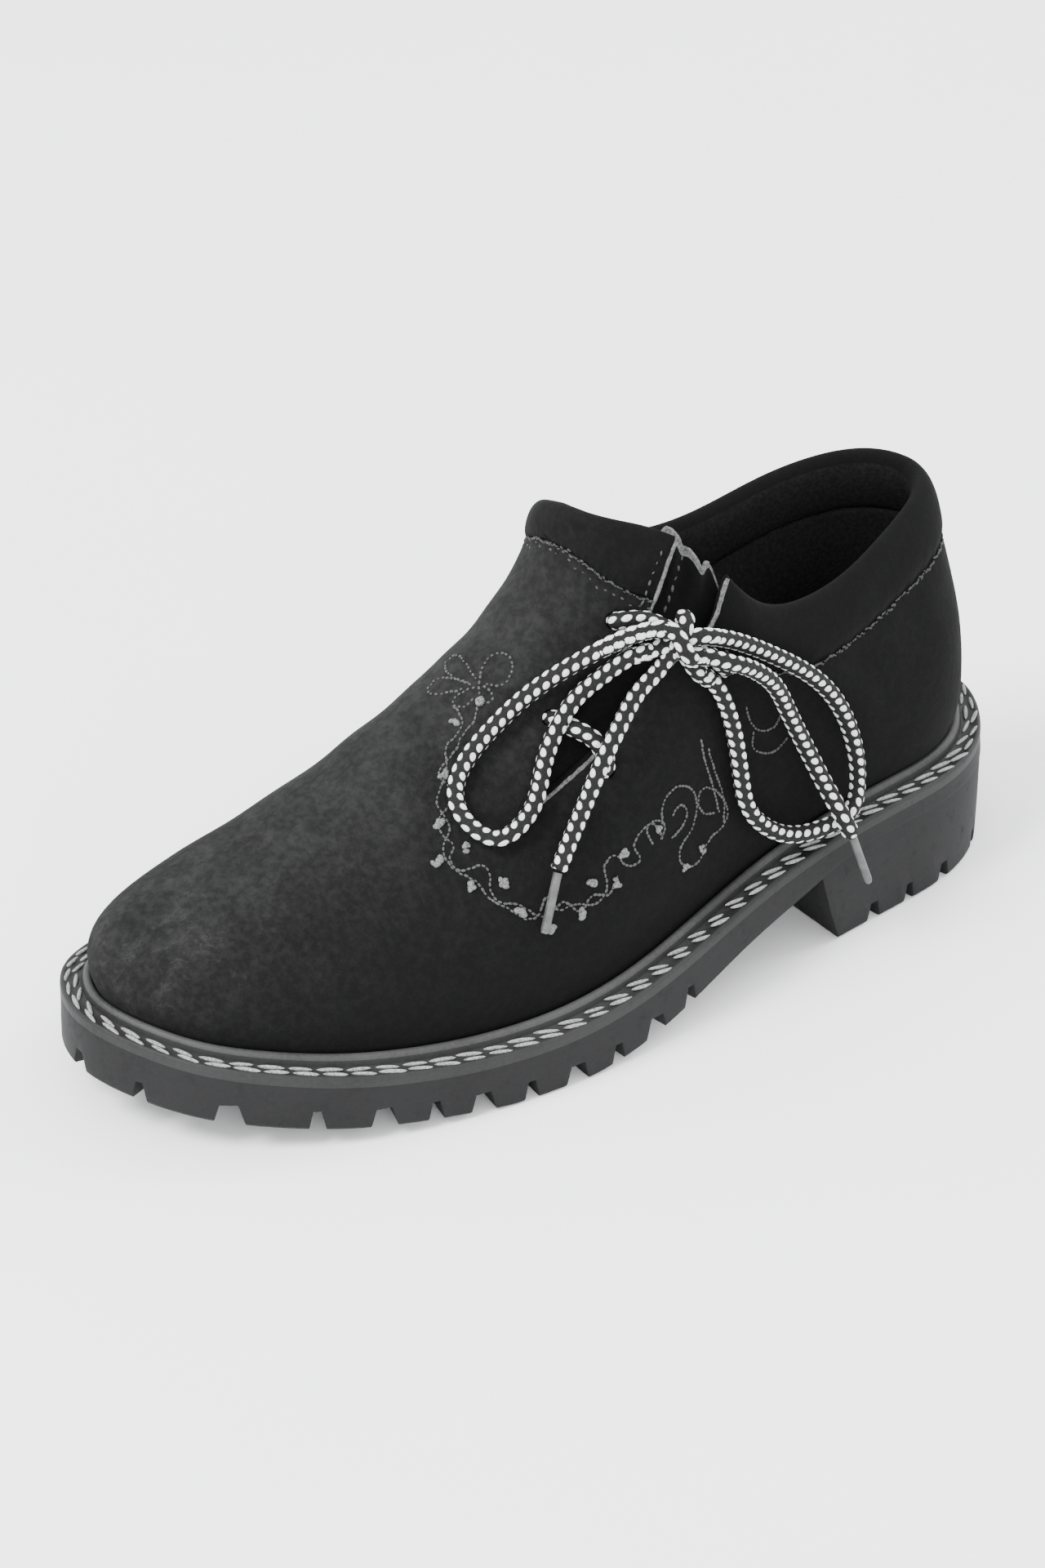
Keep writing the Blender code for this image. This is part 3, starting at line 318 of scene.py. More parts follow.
def sole_edge(count=800):
    outer = [(r[1], along(r[0])) for r in SOLE_EDGE]
    inner = [(-r[2], along(r[0])) for r in SOLE_EDGE]
    return closed([(HEEL_TIP, along(0.0))] + outer + [(TOE_TIP, along(1.0))] + inner[::-1], count)


EDGE = sole_edge()
MID_X = 0.5 * (EDGE[:, 0].max() + EDGE[:, 0].min())
EDGE[:, 0] -= MID_X


def inset(distance):
    """The sole's edge moved inward by a distance."""
    t = np.roll(EDGE, -1, axis=0) - np.roll(EDGE, 1, axis=0)
    t /= np.linalg.norm(t, axis=1)[:, None]
    return EDGE + np.column_stack([t[:, 1], -t[:, 0]]) * distance * TURN


TURN = 1.0
if abs(inset(5.0)[:, 0]).max() > abs(EDGE[:, 0]).max():
    TURN = -1.0


def split_sides(ring):
    r = np.roll(ring, -int(np.argmax(ring[:, 1])), axis=0)
    front = int(np.argmin(r[:, 1]))
    one = r[:front + 1]
    two = np.vstack([r[front:], r[:1]])[::-1]
    if one[:, 0].max() < two[:, 0].max():
        one, two = two, one
    return one, two


def paired(ring, halves):
    one, two = split_sides(ring)
    out = [resample(side, halves + 1) for side in (one, two)]
    return np.vstack([out[0], out[1][1:-1][::-1]])


def level(distance, height, halves=HALVES):
    ring = paired(inset(distance), halves)
    return np.column_stack([ring, height(ring[:, 1])])


def top_line():
    outer = [(r[1] - MID_X, along(r[0]), r[2]) for r in TOP_OUTER]
    inner = [(-r[1] - MID_X, along(r[0]), r[2]) for r in TOP_INNER]
    back = (TOP_BACK[1] - MID_X, along(TOP_BACK[0]), TOP_BACK[2])
    front = (TOP_FRONT[1] - MID_X, along(TOP_FRONT[0]), TOP_FRONT[2])
    ring = closed([back] + outer + [front] + inner[::-1], 1200)
    ring = np.roll(ring, -int(np.argmin(np.linalg.norm(ring - np.array(back), axis=1))), axis=0)
    m = int(np.argmin(np.linalg.norm(ring - np.array(front), axis=1)))
    return ring[:m + 1], np.vstack([ring[m:], ring[:1]])[::-1]


def upper_lines():
    """Lines up the outside of the upper, evenly spaced points on each, and each line's length."""
    foot = paired(inset(FOOT_INSET), HALVES)
    rise = np.array(RISE)
    spread = np.array(SPREAD)
    tops = []
    for line in top_line():
        run = runs_of(line)
        tops.append((line, run))
    low = foot[:, 1].min()
    high = foot[:, 1].max()
    lines = []
    for i, (x, y) in enumerate(foot):
        line, run = tops[0 if i <= HALVES else 1]
        place = (high - y) / (high - low)
        want = spline(spread[:, 0], spread[:, 1], place)[0] * 2.0 * run[-1]
        top = np.array([np.interp(want, run, line[:, k]) for k in range(3)])
        base = np.array([x, y, ledge(y)[0] + CLEAR])
        row = spline(rise[:, 0], rise[:, 1:], place)[0]
        go = np.concatenate([[0.0], row[0::2], [1.0]])
        up = np.concatenate([[0.0], row[1::2], [1.0]])
        key = np.concatenate([[0.0], np.cumsum(np.hypot(np.diff(go) * 0.8, np.diff(up)) ** 0.7)])
        t = np.linspace(0.0, key[-1], 161)
        both = spline(key, np.column_stack([go, up]), t)
        p = base + (top - base) * np.column_stack([both[:, 0], both[:, 0], both[:, 1]])
        lines.append(resample(p, FINE))
    lines = np.array(lines)
    return lines, np.linalg.norm(np.diff(lines, axis=1), axis=2).sum(axis=1)


LINES, REACH = upper_lines()
COUNT = len(LINES)
side_way = np.roll(LINES, -1, axis=0) - np.roll(LINES, 1, axis=0)
up_way = np.gradient(LINES, axis=1)
OUT = np.cross(side_way, up_way)
OUT /= np.linalg.norm(OUT, axis=2)[:, :, None]
if OUT[HALVES // 2, 20, 0] < 0.0:
    OUT = -OUT


def skin(place, run):
    """Points and outward normals on the upper: place round it (0 heel, 0.5 toe), run up from the sole."""
    place, run = np.broadcast_arrays(np.asarray(place, float), np.asarray(run, float))
    x = (place % 1.0) * COUNT
    i = np.floor(x).astype(int) % COUNT
    f = (x - np.floor(x))[..., None]
    j = (i + 1) % COUNT
    whole = REACH[i] * (1.0 - f[..., 0]) + REACH[j] * f[..., 0]
    s = np.clip(run / whole, 0.0, 1.0) * (FINE - 1)
    k = np.minimum(np.floor(s).astype(int), FINE - 2)
    g = (s - k)[..., None]
    def read(grid):
        a = grid[i, k] * (1.0 - g) + grid[i, k + 1] * g
        b = grid[j, k] * (1.0 - g) + grid[j, k + 1] * g
        return a * (1.0 - f) + b * f
    normal = read(OUT)
    return read(LINES), normal / np.linalg.norm(normal, axis=-1)[..., None]


def reach_at(place):
    return np.interp((np.asarray(place, float) % 1.0) * COUNT, np.arange(COUNT + 1), np.append(REACH, REACH[0]))


def band_high(place):
    rows = np.array(BAND_HIGH)
    return np.interp(np.asarray(place, float) % 1.0, rows[:, 0], rows[:, 1])


SKIN_FACES = [(i * FINE + k, i * FINE + k + 1, ((i + 1) % COUNT) * FINE + k + 1, ((i + 1) % COUNT) * FINE + k)
              for i in range(COUNT) for k in range(FINE - 1)]
SKIN = BVHTree.FromPolygons([tuple(q) for q in LINES.reshape(-1, 3)], SKIN_FACES)


def from_side(y, z):
    """Point and outward normal of the upper's outer side at a place seen from that side."""
    at, normal, face, far = SKIN.ray_cast(Vector((90.0, y, z)), Vector((-1.0, 0.0, 0.0)))
    if at is None:
        return None
    if normal.x < 0.0:
        normal = -normal
    return np.array(at), np.array(normal)


def opening_edge(column, step=1.2):
    """Points and normals down one edge of the opening, from the collar's top to its lower end."""
    line = smooth_line([(0.0, along(r[column]), r[column + 1]) for r in SLIT], step)
    found = [from_side(y, z) for _, y, z in line]
    found = [f for f in found if f is not None and f[0][0] > 5.0]
    return np.array([f[0] for f in found]), np.array([f[1] for f in found])


def crease_depth(points):
    """How far each point of the skin sinks, from the listed creases."""
    sunk = np.zeros(len(points))
    for places, wide, deep in CREASES:
        line = smooth_line(places, 2.5)
        d = np.linalg.norm(points[:, None, :] - line[None, :, :], axis=2)
        near = d.min(axis=1)
        at = d.argmin(axis=1) / (len(line) - 1.0)
        fade = np.clip(np.minimum(at, 1.0 - at) * 4.0, 0.0, 1.0)
        fade = fade * fade * (3.0 - 2.0 * fade)
        sunk += deep * (np.exp(-(near / wide) ** 2) - 0.45 * np.exp(-((near - 1.9 * wide) / wide) ** 2)) * fade
    return sunk


class Wire:
    """A socket of a finish that Python's operators work on."""

    def __init__(self, finish, socket):
        self.finish = finish
        self.socket = socket

    def maths(self, operation, *values):
        return self.finish.add("ShaderNodeMath", {"operation": operation}, dict(enumerate(values)))

    def __add__(self, other):
        return self.maths("ADD", self, other)

    def __radd__(self, other):
        return self.maths("ADD", other, self)

    def __sub__(self, other):
        return self.maths("SUBTRACT", self, other)

    def __rsub__(self, other):
        return self.maths("SUBTRACT", other, self)

    def __mul__(self, other):
        return self.maths("MULTIPLY", self, other)

    def __rmul__(self, other):
        return self.maths("MULTIPLY", other, self)

    def __truediv__(self, other):
        return self.maths("DIVIDE", self, other)

    def __pow__(self, other):
        return self.maths("POWER", self, other)

    def __abs__(self):
        return self.maths("ABSOLUTE", self)

    def floor(self):
        return self.maths("FLOOR", self)

    def wave(self):
        return self.maths("SINE", self)

    def ramp(self, low, high):
        """0 below low, 1 above high, smooth between."""
        return self.finish.add("ShaderNodeMapRange", {"interpolation_type": "SMOOTHSTEP"},
                               {"Value": self, "From Min": low, "From Max": high})


class Finish:
    """A material and short ways to add nodes to it."""

    def __init__(self, name, **fixed):
        self.material = bpy.data.materials.new(name)
        self.material.use_nodes = True
        self.tree = self.material.node_tree
        self.shader = self.tree.nodes["Principled BSDF"]
        for key, value in fixed.items():
            self.shader.inputs[key.replace("_", " ")].default_value = value
        self.place = self.add("ShaderNodeTexCoord", {}, {}, "Object")

    def add(self, kind, settings, values, output=0):
        node = self.tree.nodes.new(kind)
        for key, value in settings.items():
            if key == "stops":
                while len(node.color_ramp.elements) > 1:
                    node.color_ramp.elements.remove(node.color_ramp.elements[0])
                for n, (at, colour) in enumerate(value):
                    stop = node.color_ramp.elements[0] if n == 0 else node.color_ramp.elements.new(at)
                    stop.position = at
                    stop.color = (*colour, 1.0)
            else:
                setattr(node, key, value)
        for key, value in values.items():
            socket = node.inputs[key]
            if isinstance(value, Wire):
                self.tree.links.new(value.socket, socket)
            else:
                socket.default_value = value
        return Wire(self, node.outputs[output])

    def noise(self, scale, detail=2.0, rough=0.5, stretch=(1.0, 1.0, 1.0), warp=0.0):
        at = self.place
        if stretch != (1.0, 1.0, 1.0):
            at = self.add("ShaderNodeMapping", {}, {"Vector": at, "Scale": stretch})
        return self.add("ShaderNodeTexNoise", {}, {"Vector": at, "Scale": scale, "Detail": detail,
                                                   "Roughness": rough, "Distortion": warp})

    def axis(self, name):
        return self.add("ShaderNodeSeparateXYZ", {}, {"Vector": self.place}, name)

    def mix(self, factor, one, two):
        return self.add("ShaderNodeMix", {"data_type": "RGBA"}, {0: factor, 6: one, 7: two}, 2)

    def feed(self, socket, wire):
        self.tree.links.new(wire.socket, self.shader.inputs[socket])

    def bump(self, height, distance, strength=1.0):
        self.feed("Normal", self.add("ShaderNodeBump", {}, {"Strength": strength, "Distance": distance, "Height": height}))


def grey(v, warm=0.0, blue=0.0):
    return (v * (1.0 + warm), v, v * (1.0 + blue), 1.0)


def suede(name, dark, pale, lift):
    """Brushed black suede: nap in soft patches, fine specks, and a paler top and instep that is partly rubbed nap and
    partly painted light where the key light falls.
    """
    f = Finish(name, Sheen_Weight=0.015, Sheen_Roughness=0.5, Sheen_Tint=(0.62, 0.63, 0.64, 1.0),
               Specular_IOR_Level=0.05, Roughness=0.97)
    cloud = f.noise(20.0, 3.0, 0.55).ramp(0.36, 0.66)
    patch = f.noise(95.0, 4.0, 0.62, warp=0.4).ramp(0.40, 0.64)
    specks = f.noise(430.0, 3.0, 0.68).ramp(0.34, 0.68)
    fibres = f.noise(1500.0, 2.0, 0.7)
    x, y, z = f.axis("X"), f.axis("Y"), f.axis("Z")
    # Paler top and instep side: partly rubbed nap, partly painted light standing in for the key light falling on the
    # upper's top.
    high = (z + y * -0.30).ramp(0.050, 0.100) * (y * -1.0).ramp(-0.045, 0.02)
    toward_instep = 0.35 + (x * -1.0).ramp(-0.040, 0.020) * 0.65
    wisps = (1.0 - abs(f.noise(30.0, 6.0, 0.7, warp=0.6) - 0.5).ramp(0.0, 0.022)) * patch * (y * -1.0).ramp(0.085, 0.125)
    rubbed_nap_and_painted_light = high * toward_instep * lift * (0.45 + cloud * 0.30 + patch * 0.25)
    tone = 0.07 + rubbed_nap_and_painted_light * 0.74 + (specks - 0.5) * (0.10 + rubbed_nap_and_painted_light * 0.26) + (fibres - 0.5) * 0.16 + wisps * rubbed_nap_and_painted_light * 0.6
    f.feed("Base Color", f.mix(tone.ramp(-0.06, 1.0), dark, pale))
    f.feed("Roughness", 0.98 - patch * 0.06)
    f.bump(fibres * 0.55 + specks * 0.35 + patch * 0.06, 0.00032, 0.6)
    return f.material


def raw_edge(name):
    """Cut edge of the suede, paler and hairy."""
    f = Finish(name, Roughness=0.95, Specular_IOR_Level=0.15)
    hairs = f.noise(1100.0, 3.0, 0.7)
    f.feed("Base Color", f.mix(hairs.ramp(0.3, 0.7), grey(0.045), grey(0.14)))
    f.bump(hairs, 0.0004, 0.8)
    return f.material


def lining_cloth(name):
    f = Finish(name, Roughness=0.97, Specular_IOR_Level=0.1)
    fuzz = f.noise(900.0, 3.0, 0.6)
    f.feed("Base Color", f.mix(fuzz.ramp(0.3, 0.75), grey(0.0035), grey(0.008)))
    f.bump(fuzz, 0.0003, 0.6)
    return f.material


def moulded_rubber(name, dark, pale, gloss):
    """Moulded rubber with a faint cloud, fine pits and patches of dust that raise its roughness."""
    f = Finish(name, Specular_IOR_Level=0.2)
    cloud = f.noise(28.0, 4.0, 0.55, warp=0.4)
    pits = f.noise(950.0, 3.0, 0.6)
    dust = f.noise(210.0, 4.0, 0.7).ramp(0.52, 0.8)
    f.feed("Base Color", f.mix((cloud * 0.7 + pits * 0.3).ramp(0.32, 0.68), dark, pale))
    f.feed("Roughness", gloss + cloud * 0.12 + dust * 0.16)
    f.bump(pits * 0.6 + cloud * 0.6, 0.00022, 0.5)
    return f.material


def spun_thread(name, dark, pale):
    f = Finish(name, Roughness=0.75, Specular_IOR_Level=0.3)
    ply = f.noise(2400.0, 2.0, 0.6)
    f.feed("Base Color", f.mix(ply.ramp(0.3, 0.7), dark, pale))
    f.bump(ply, 0.0002, 0.6)
    return f.material


def checked_cord(name):
    """Round braid in black with white floats in staggered columns, read along the cord's own map."""
    f = Finish(name, Roughness=0.82, Specular_IOR_Level=0.2)
    across = f.add("ShaderNodeUVMap", {"uv_map": "braid"}, {})
    u = f.add("ShaderNodeSeparateXYZ", {}, {"Vector": across}, "X") * COLUMNS
    v = f.add("ShaderNodeSeparateXYZ", {}, {"Vector": across}, "Y") * (1.0 / (FLOAT_PITCH * MM))
    column = (u + 0.5).floor()
    side = (u - column) * (2.0 * math.pi * CORD_R / COLUMNS)
    odd = column - (column * 0.5).floor() * 2.0
    step = v - odd * 0.5
    ahead = (step - (step + 0.5).floor()) * FLOAT_PITCH
    c, t = math.cos(FLOAT_TURN), math.sin(FLOAT_TURN)
    wide = (side * c + ahead * t) * (1.0 / FLOAT_WIDE)
    long = (ahead * c - side * t) * (1.0 / FLOAT_LONG)
    far = wide * wide + long * long
    white = 1.0 - far.ramp(0.72, 1.12)
    yarn = f.noise(2600.0, 2.0, 0.6)
    light = f.mix(yarn.ramp(0.25, 0.7), grey(0.42), grey(0.74))
    black = f.mix(yarn.ramp(0.3, 0.7), grey(0.003), grey(0.010))
    f.feed("Base Color", f.mix(white, black, light))
    half = v * 2.0 - odd
    dark_yarn = abs(half - (half + 0.5).floor()) * 2.0
    f.bump(white * 0.7 + (1.0 - dark_yarn) * 0.35 + yarn * 0.15, 0.0004, 0.9)
    return f.material


def plastic_tip(name):
    f = Finish(name, Specular_IOR_Level=0.5)
    wear = f.noise(300.0, 3.0, 0.6)
    f.feed("Base Color", f.mix(wear.ramp(0.35, 0.7), grey(0.035), grey(0.075)))
    f.feed("Roughness", 0.32 + wear * 0.25)
    f.bump(wear, 0.0001, 0.4)
    return f.material


# The last number scales the paler top, part rubbed nap and part painted light; the collar and gusset take less of it
# and a lower pale tone.
BLACK_SUEDE = suede("brushed_black_suede", grey(0.0040), grey(0.022), 1.0)
COLLAR_SUEDE = suede("collar_suede", grey(0.0036), grey(0.013), 0.7)
GUSSET_SUEDE = suede("gusset_suede", grey(0.0035), grey(0.014), 0.4)
RAW_EDGE = raw_edge("raw_suede_edge")
LINING = lining_cloth("dark_lining")
SOLE_RUBBER = moulded_rubber("sole_rubber", grey(0.0045, 0.0, 0.05), grey(0.0090, 0.0, 0.05), 0.64)
WELT_RUBBER = moulded_rubber("welt_rubber", grey(0.010), grey(0.020), 0.55)
# Paler copy of the welt rubber for the bead's top: a painted highlight where light from above falls on it.
BEAD_PAINTED_HIGHLIGHT = moulded_rubber("welt_bead_painted_highlight", grey(0.020), grey(0.046), 0.50)
WHITE_THREAD = spun_thread("white_thread", grey(0.10), grey(0.34))
DARK_THREAD = spun_thread("dark_thread", grey(0.014), grey(0.055))
VINE_THREAD = spun_thread("vine_thread", grey(0.022), grey(0.080))
BERRY_THREAD = spun_thread("berry_thread", grey(0.05), grey(0.18))
CORD = checked_cord("checked_braid")
TIP = plastic_tip("tip_plastic")


def mesh_object(name, points, faces, materials, picks=None, smooth=True, outward=True):
    """A mesh object from points in millimetres."""
    mesh = bpy.data.meshes.new(name)
    mesh.from_pydata([tuple(float(c) * MM for c in p) for p in points], [], faces)
    for material in materials:
        mesh.materials.append(material)
    if picks is not None:
        mesh.polygons.foreach_set("material_index", np.asarray(picks, np.int32))
    if outward:
        shell = bmesh.new()
        shell.from_mesh(mesh)
        bmesh.ops.recalc_face_normals(shell, faces=shell.faces)
        shell.to_mesh(mesh)
        shell.free()
    mesh.polygons.foreach_set("use_smooth", [smooth] * len(mesh.polygons))
    ob = bpy.data.objects.new(name, mesh)
    bpy.context.scene.collection.objects.link(ob)
    return ob


def settle(ob):
    """The object with its modifiers made part of its mesh."""
    bpy.context.view_layer.update()
    graph = bpy.context.evaluated_depsgraph_get()
    mesh = bpy.data.meshes.new_from_object(ob.evaluated_get(graph))
    ob.modifiers.clear()
    old = ob.data
    ob.data = mesh
    bpy.data.meshes.remove(old)
    return ob


def cut(target, cutter):
    m = target.modifiers.new("cut", "BOOLEAN")
    m.operation = "DIFFERENCE"
    m.solver = "EXACT"
    m.object = cutter
    settle(target)


def hoop(sections):
    n, m, _ = sections.shape
    faces = []
    for i in range(n):
        for k in range(m):
            j = (i + 1) % n
            h = (k + 1) % m
            faces.append((i * m + k, i * m + h, j * m + h, j * m + k))
    return sections.reshape(-1, 3), faces


def rod(rings):
    n, m, _ = rings.shape
    faces = []
    for i in range(n - 1):
        for k in range(m):
            h = (k + 1) % m
            faces.append((i * m + k, i * m + h, (i + 1) * m + h, (i + 1) * m + k))
    faces.append(tuple(range(m))[::-1])
    faces.append(tuple((n - 1) * m + k for k in range(m)))
    return rings.reshape(-1, 3), faces


def many(parts):
    points = []
    faces = []
    for pts, fcs in parts:
        base = len(points)
        points.extend(pts)
        faces.extend(tuple(base + i for i in f) for f in fcs)
    return points, faces


def drop(*objects):
    for ob in objects:
        bpy.data.objects.remove(ob, do_unlink=True)


def finish_piece(ob, slot, *nodes):
    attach(ob, "root")
    if nodes:
        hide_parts(*nodes)
    return ob


def slit_cutter(grow=0.0):
    front = smooth_line([(along(r[0]), r[1]) for r in SLIT], 2.0)
    rear = smooth_line([(along(r[2]), r[3]) for r in SLIT], 2.0)
    shape = [tuple(p) for p in front] + [tuple(p) for p in rear[::-1]]
    rings = np.array([[(x, y, z) for y, z in shape] for x in (4.0, 80.0)])
    pts, faces = rod(rings)
    return mesh_object("slit_cutter", pts, faces, [BLACK_SUEDE, RAW_EDGE], [1] * len(faces), False)


def eyelet_cutter():
    parts = []
    for at, way in EYELETS:
        axis = Vector(way).normalized()
        side = axis.orthogonal().normalized()
        other = axis.cross(side)
        rings = []
        for reach in (-5.0, 5.0):
            rings.append([tuple(Vector(at) + axis * reach + (side * math.cos(a) + other * math.sin(a)) * EYELET_R)
                          for a in (2.0 * math.pi * k / 20.0 for k in range(20))])
        parts.append(rod(np.array(rings)))
    pts, faces = many(parts)
    return mesh_object("eyelet_cutter", pts, faces, [BLACK_SUEDE, RAW_EDGE], [1] * len(faces), False)


def make_upper():
    """The upper as one wall with its lining face inside, creased, slit and punched."""
    rows = 66
    place = np.arange(COUNT) / COUNT
    top = REACH - band_high(place) - CLEAR
    share = np.linspace(0.0, 1.0, rows) ** 1.05
    p, out = skin(place[:, None], share[None, :] * top[:, None])
    flat = p.reshape(-1, 3)
    hem = np.clip(np.minimum(share * 9.0, (1.0 - share) * 9.0), 0.0, 1.0)
    sunk = crease_depth(flat).reshape(COUNT, rows) * hem[None, :]
    outer = p - out * sunk[:, :, None]
    inner = p - out * (WALL + np.maximum(sunk, 0.0) * 0.3)[:, :, None]
    lean = out[:, 0] * np.array([1.0, 1.0, 0.0])
    inner[:, 0] = p[:, 0] - lean / np.linalg.norm(lean, axis=1)[:, None] * WALL
    inner[:, 0, 2] = p[:, 0, 2]
    lip = 0.5 * (outer[:, -1] + inner[:, -1])
    inside = inner[:, ::-1][:, ::2]
    pts, faces = hoop(np.concatenate([outer, inside], axis=1))
    m = rows + inside.shape[1]
    picks = [2 if rows - 1 <= f % m < m - 1 else 0 for f in range(len(faces))]
    ob = mesh_object("upper_suede", pts, faces, [BLACK_SUEDE, GUSSET_SUEDE, LINING], picks)
    tree = BVHTree.FromPolygons([tuple(q) for q in outer.reshape(-1, 3)],
                                [(i * rows + k, i * rows + k + 1, ((i + 1) % COUNT) * rows + k + 1,
                                  ((i + 1) % COUNT) * rows + k) for i in range(COUNT) for k in range(rows - 1)])
    return ob, tree


upper, upper_tree = make_upper()
slit = slit_cutter()
holes = eyelet_cutter()
cut(upper, slit)
cut(upper, holes)
finish_piece(upper, "black_suede", "upper")


def on_upper(points, lift=0.0):
    """Points brought to the upper's outside, with the outward normals there."""
    spots = []
    ways = []
    for p in points:
        at, normal, index, far = upper_tree.find_nearest(Vector(p))
        place, out = at, normal
        if (Vector(p) - at).dot(normal) < -0.01 and far > 0.5:
            out = normal
        centre = Vector((0.0, at[1], 40.0))
        if out.dot(at - centre) < 0.0:
            out = -out
        spots.append(np.array(place + out * lift))
        ways.append(np.array(out))
    return np.array(spots), np.array(ways)


FRONT_EDGE = 0.308
REAR_EDGE = 0.234
TOP_GIRTH = 275.0


def make_collar():
    """The padded collar: a full roll, flat where it is sewn at the opening, pulled in along its seam."""
    form = np.array(BAND_FORM)
    ring = np.vstack([form, form[:1]])
    key = np.concatenate([[0.0], np.cumsum(np.hypot(np.diff(ring[:, 0]) * 17.0, np.diff(ring[:, 1])) ** 0.6)])
    fine = spline(key, ring, np.linspace(0.0, key[-1], 45))[:-1]
    fine[:, 0] = np.clip(fine[:, 0], 0.0, 1.0)
    n = 560
    place = np.arange(n) / n
    high = band_high(place)
    whole = reach_at(place)
    rng = np.random.RandomState(11)
    soft = np.zeros(n)
    for waves in (5, 9, 14, 23):
        soft += rng.uniform(0.08, 0.18) * np.sin(2.0 * math.pi * (waves * place + rng.uniform()))
    pucker = np.abs(np.sin(math.pi * place * 90.0))
    far = np.minimum(abs(place - FRONT_EDGE), abs(place - REAR_EDGE)) * TOP_GIRTH
    inside = (place > REAR_EDGE) & (place < FRONT_EDGE)
    far = np.where(inside, 0.0, far)
    full = np.clip(far / 11.0, 0.0, 1.0)
    full = 0.26 + 0.74 * full * full * (3.0 - 2.0 * full)
    sections = np.zeros((n, len(fine), 3))
    for k, (up, out) in enumerate(fine):
        p, normal = skin(place, whole - (1.0 - up) * high)
        low = math.exp(-((up - 0.05) / 0.09) ** 2) if out > -1.0 else 0.0
        swell = math.exp(-((up - 0.62) / 0.35) ** 2)
        push = -1.0 + (out + 1.0) * full + soft * swell * full - low * (0.25 + 0.30 * pucker) * full
        sections[:, k] = p + normal * push[:, None]
    pts, faces = hoop(sections)
    m = len(fine)
    dark = [k for k in range(m) if k > m // 2 and fine[k, 0] < 0.86]
    picks = [2 if f % m in dark else 0 for f in range(len(faces))]
    return mesh_object("collar_roll", pts, faces, [COLLAR_SUEDE, GUSSET_SUEDE, LINING], picks)


def edge_trim(name, spots, outs, across, deep, seed):
    """The cut edge of the suede as a thin frayed strip along an opening."""
    t = np.gradient(spots, axis=0)
    t /= np.linalg.norm(t, axis=1)[:, None]
    r = np.random.RandomState(seed)
    rough = r.uniform(-0.14, 0.14, (len(spots), 8))
    side = np.cross(t, outs)
    side /= np.linalg.norm(side, axis=1)[:, None]
    a = 2.0 * math.pi * np.arange(8) / 8.0
    rings = spots[:, None, :] + side[:, None, :] * ((across + rough) * np.cos(a))[:, :, None] \
        + outs[:, None, :] * ((deep + rough) * np.sin(a))[:, :, None]
    pts, faces = rod(rings)
    return finish_piece(mesh_object(name, pts, faces, [RAW_EDGE]), "black_suede")


for name, column, across, seed in (("raw_edge_front", 0, 0.55, 2), ("raw_edge_rear", 2, 0.62, 6)):
    spots, outs = opening_edge(column)
    edge_trim(name, spots - outs * 0.35, outs, across, 0.60, seed)

collar = make_collar()
cut(collar, slit)
finish_piece(collar, "black_suede", "collar_band")


def make_gusset():
    """Soft bellows piece behind the opening, its raw top edge waved."""
    rows = np.array(GUSSET)
    edge = np.array(GUSSET_TOP)
    cols = 121
    ups = 36
    place = np.linspace(rows[0, 0], rows[-1, 0], cols)
    low = spline(rows[:, 0], rows[:, 1], place)
    deep = spline(edge[:, 0], edge[:, 1], place)
    whole = reach_at(place)
    high = whole - deep
    share = np.linspace(0.0, 1.0, ups)
    run = low[:, None] + (high - low)[:, None] * share[None, :]
    p, normal = skin(place[:, None], run)
    p = p + np.clip(run - whole[:, None], 0.0, None)[:, :, None] * np.array([0.0, 0.0, 1.0])
    near = np.clip((run - (whole - band_high(place))[:, None] + 8.0) / 12.0, 0.0, 1.0)
    c = (place - rows[0, 0])[:, None] * 66.0
    curl = 1.1 * np.sin(c * 2.6 + 0.4) * share[None, :] ** 4 + 0.5 * np.sin(c * 1.3) * share[None, :] ** 2
    depth = WALL + 2.0 * CLEAR + 0.35 + 3.2 * near * near * (3.0 - 2.0 * near) + curl * near
    outer = p - normal * depth[:, :, None]
    inner = p - normal * (depth + GUSSET_THICK)[:, :, None]
    n = cols * ups
    points = list(outer.reshape(-1, 3)) + list(inner.reshape(-1, 3))
    faces = []
    picks = []
    for i in range(cols - 1):
        for k in range(ups - 1):
            a = i * ups + k
            faces += [(a, a + 1, a + ups + 1, a + ups), (n + a, n + a + ups, n + a + ups + 1, n + a + 1)]
            picks += [1 if k >= ups - 2 else 0, 1 if k >= ups - 2 else 0]
    rim = [i * ups for i in range(cols)] + [(cols - 1) * ups + k for k in range(1, ups)]
    rim += [i * ups + ups - 1 for i in range(cols - 2, -1, -1)] + [k for k in range(ups - 2, 0, -1)]
    for j, a in enumerate(rim):
        b = rim[(j + 1) % len(rim)]
        faces.append((a, b, n + b, n + a))
        picks.append(1 if a % ups == ups - 1 else 0)
    shown = (place > REAR_EDGE - 0.003) & (place < FRONT_EDGE + 0.012)
    rim_line = (0.5 * (outer[:, -1] + inner[:, -1]))[shown]
    return mesh_object("gusset_suede", points, faces, [GUSSET_SUEDE, RAW_EDGE], picks), rim_line, normal[:, -1][shown]


gusset, spots, outs = make_gusset()
finish_piece(gusset, "black_suede", "gusset")
edge_trim("raw_edge_gusset", spots, outs, 0.62, 0.85, 9)


def edge_frame(side, share):
    line = split_sides(EDGE)[side]
    k = min(max(int(np.argmin(abs(share_of(line[:, 1]) - share))), 1), len(line) - 2)
    t = line[k + 1] - line[k - 1]
    t = t / np.linalg.norm(t)
    inward = np.array([t[1], -t[0]])
    if side == 0 and inward[0] > 0.0 or side == 1 and inward[0] < 0.0:
        inward = -inward
    return line[k], t, inward


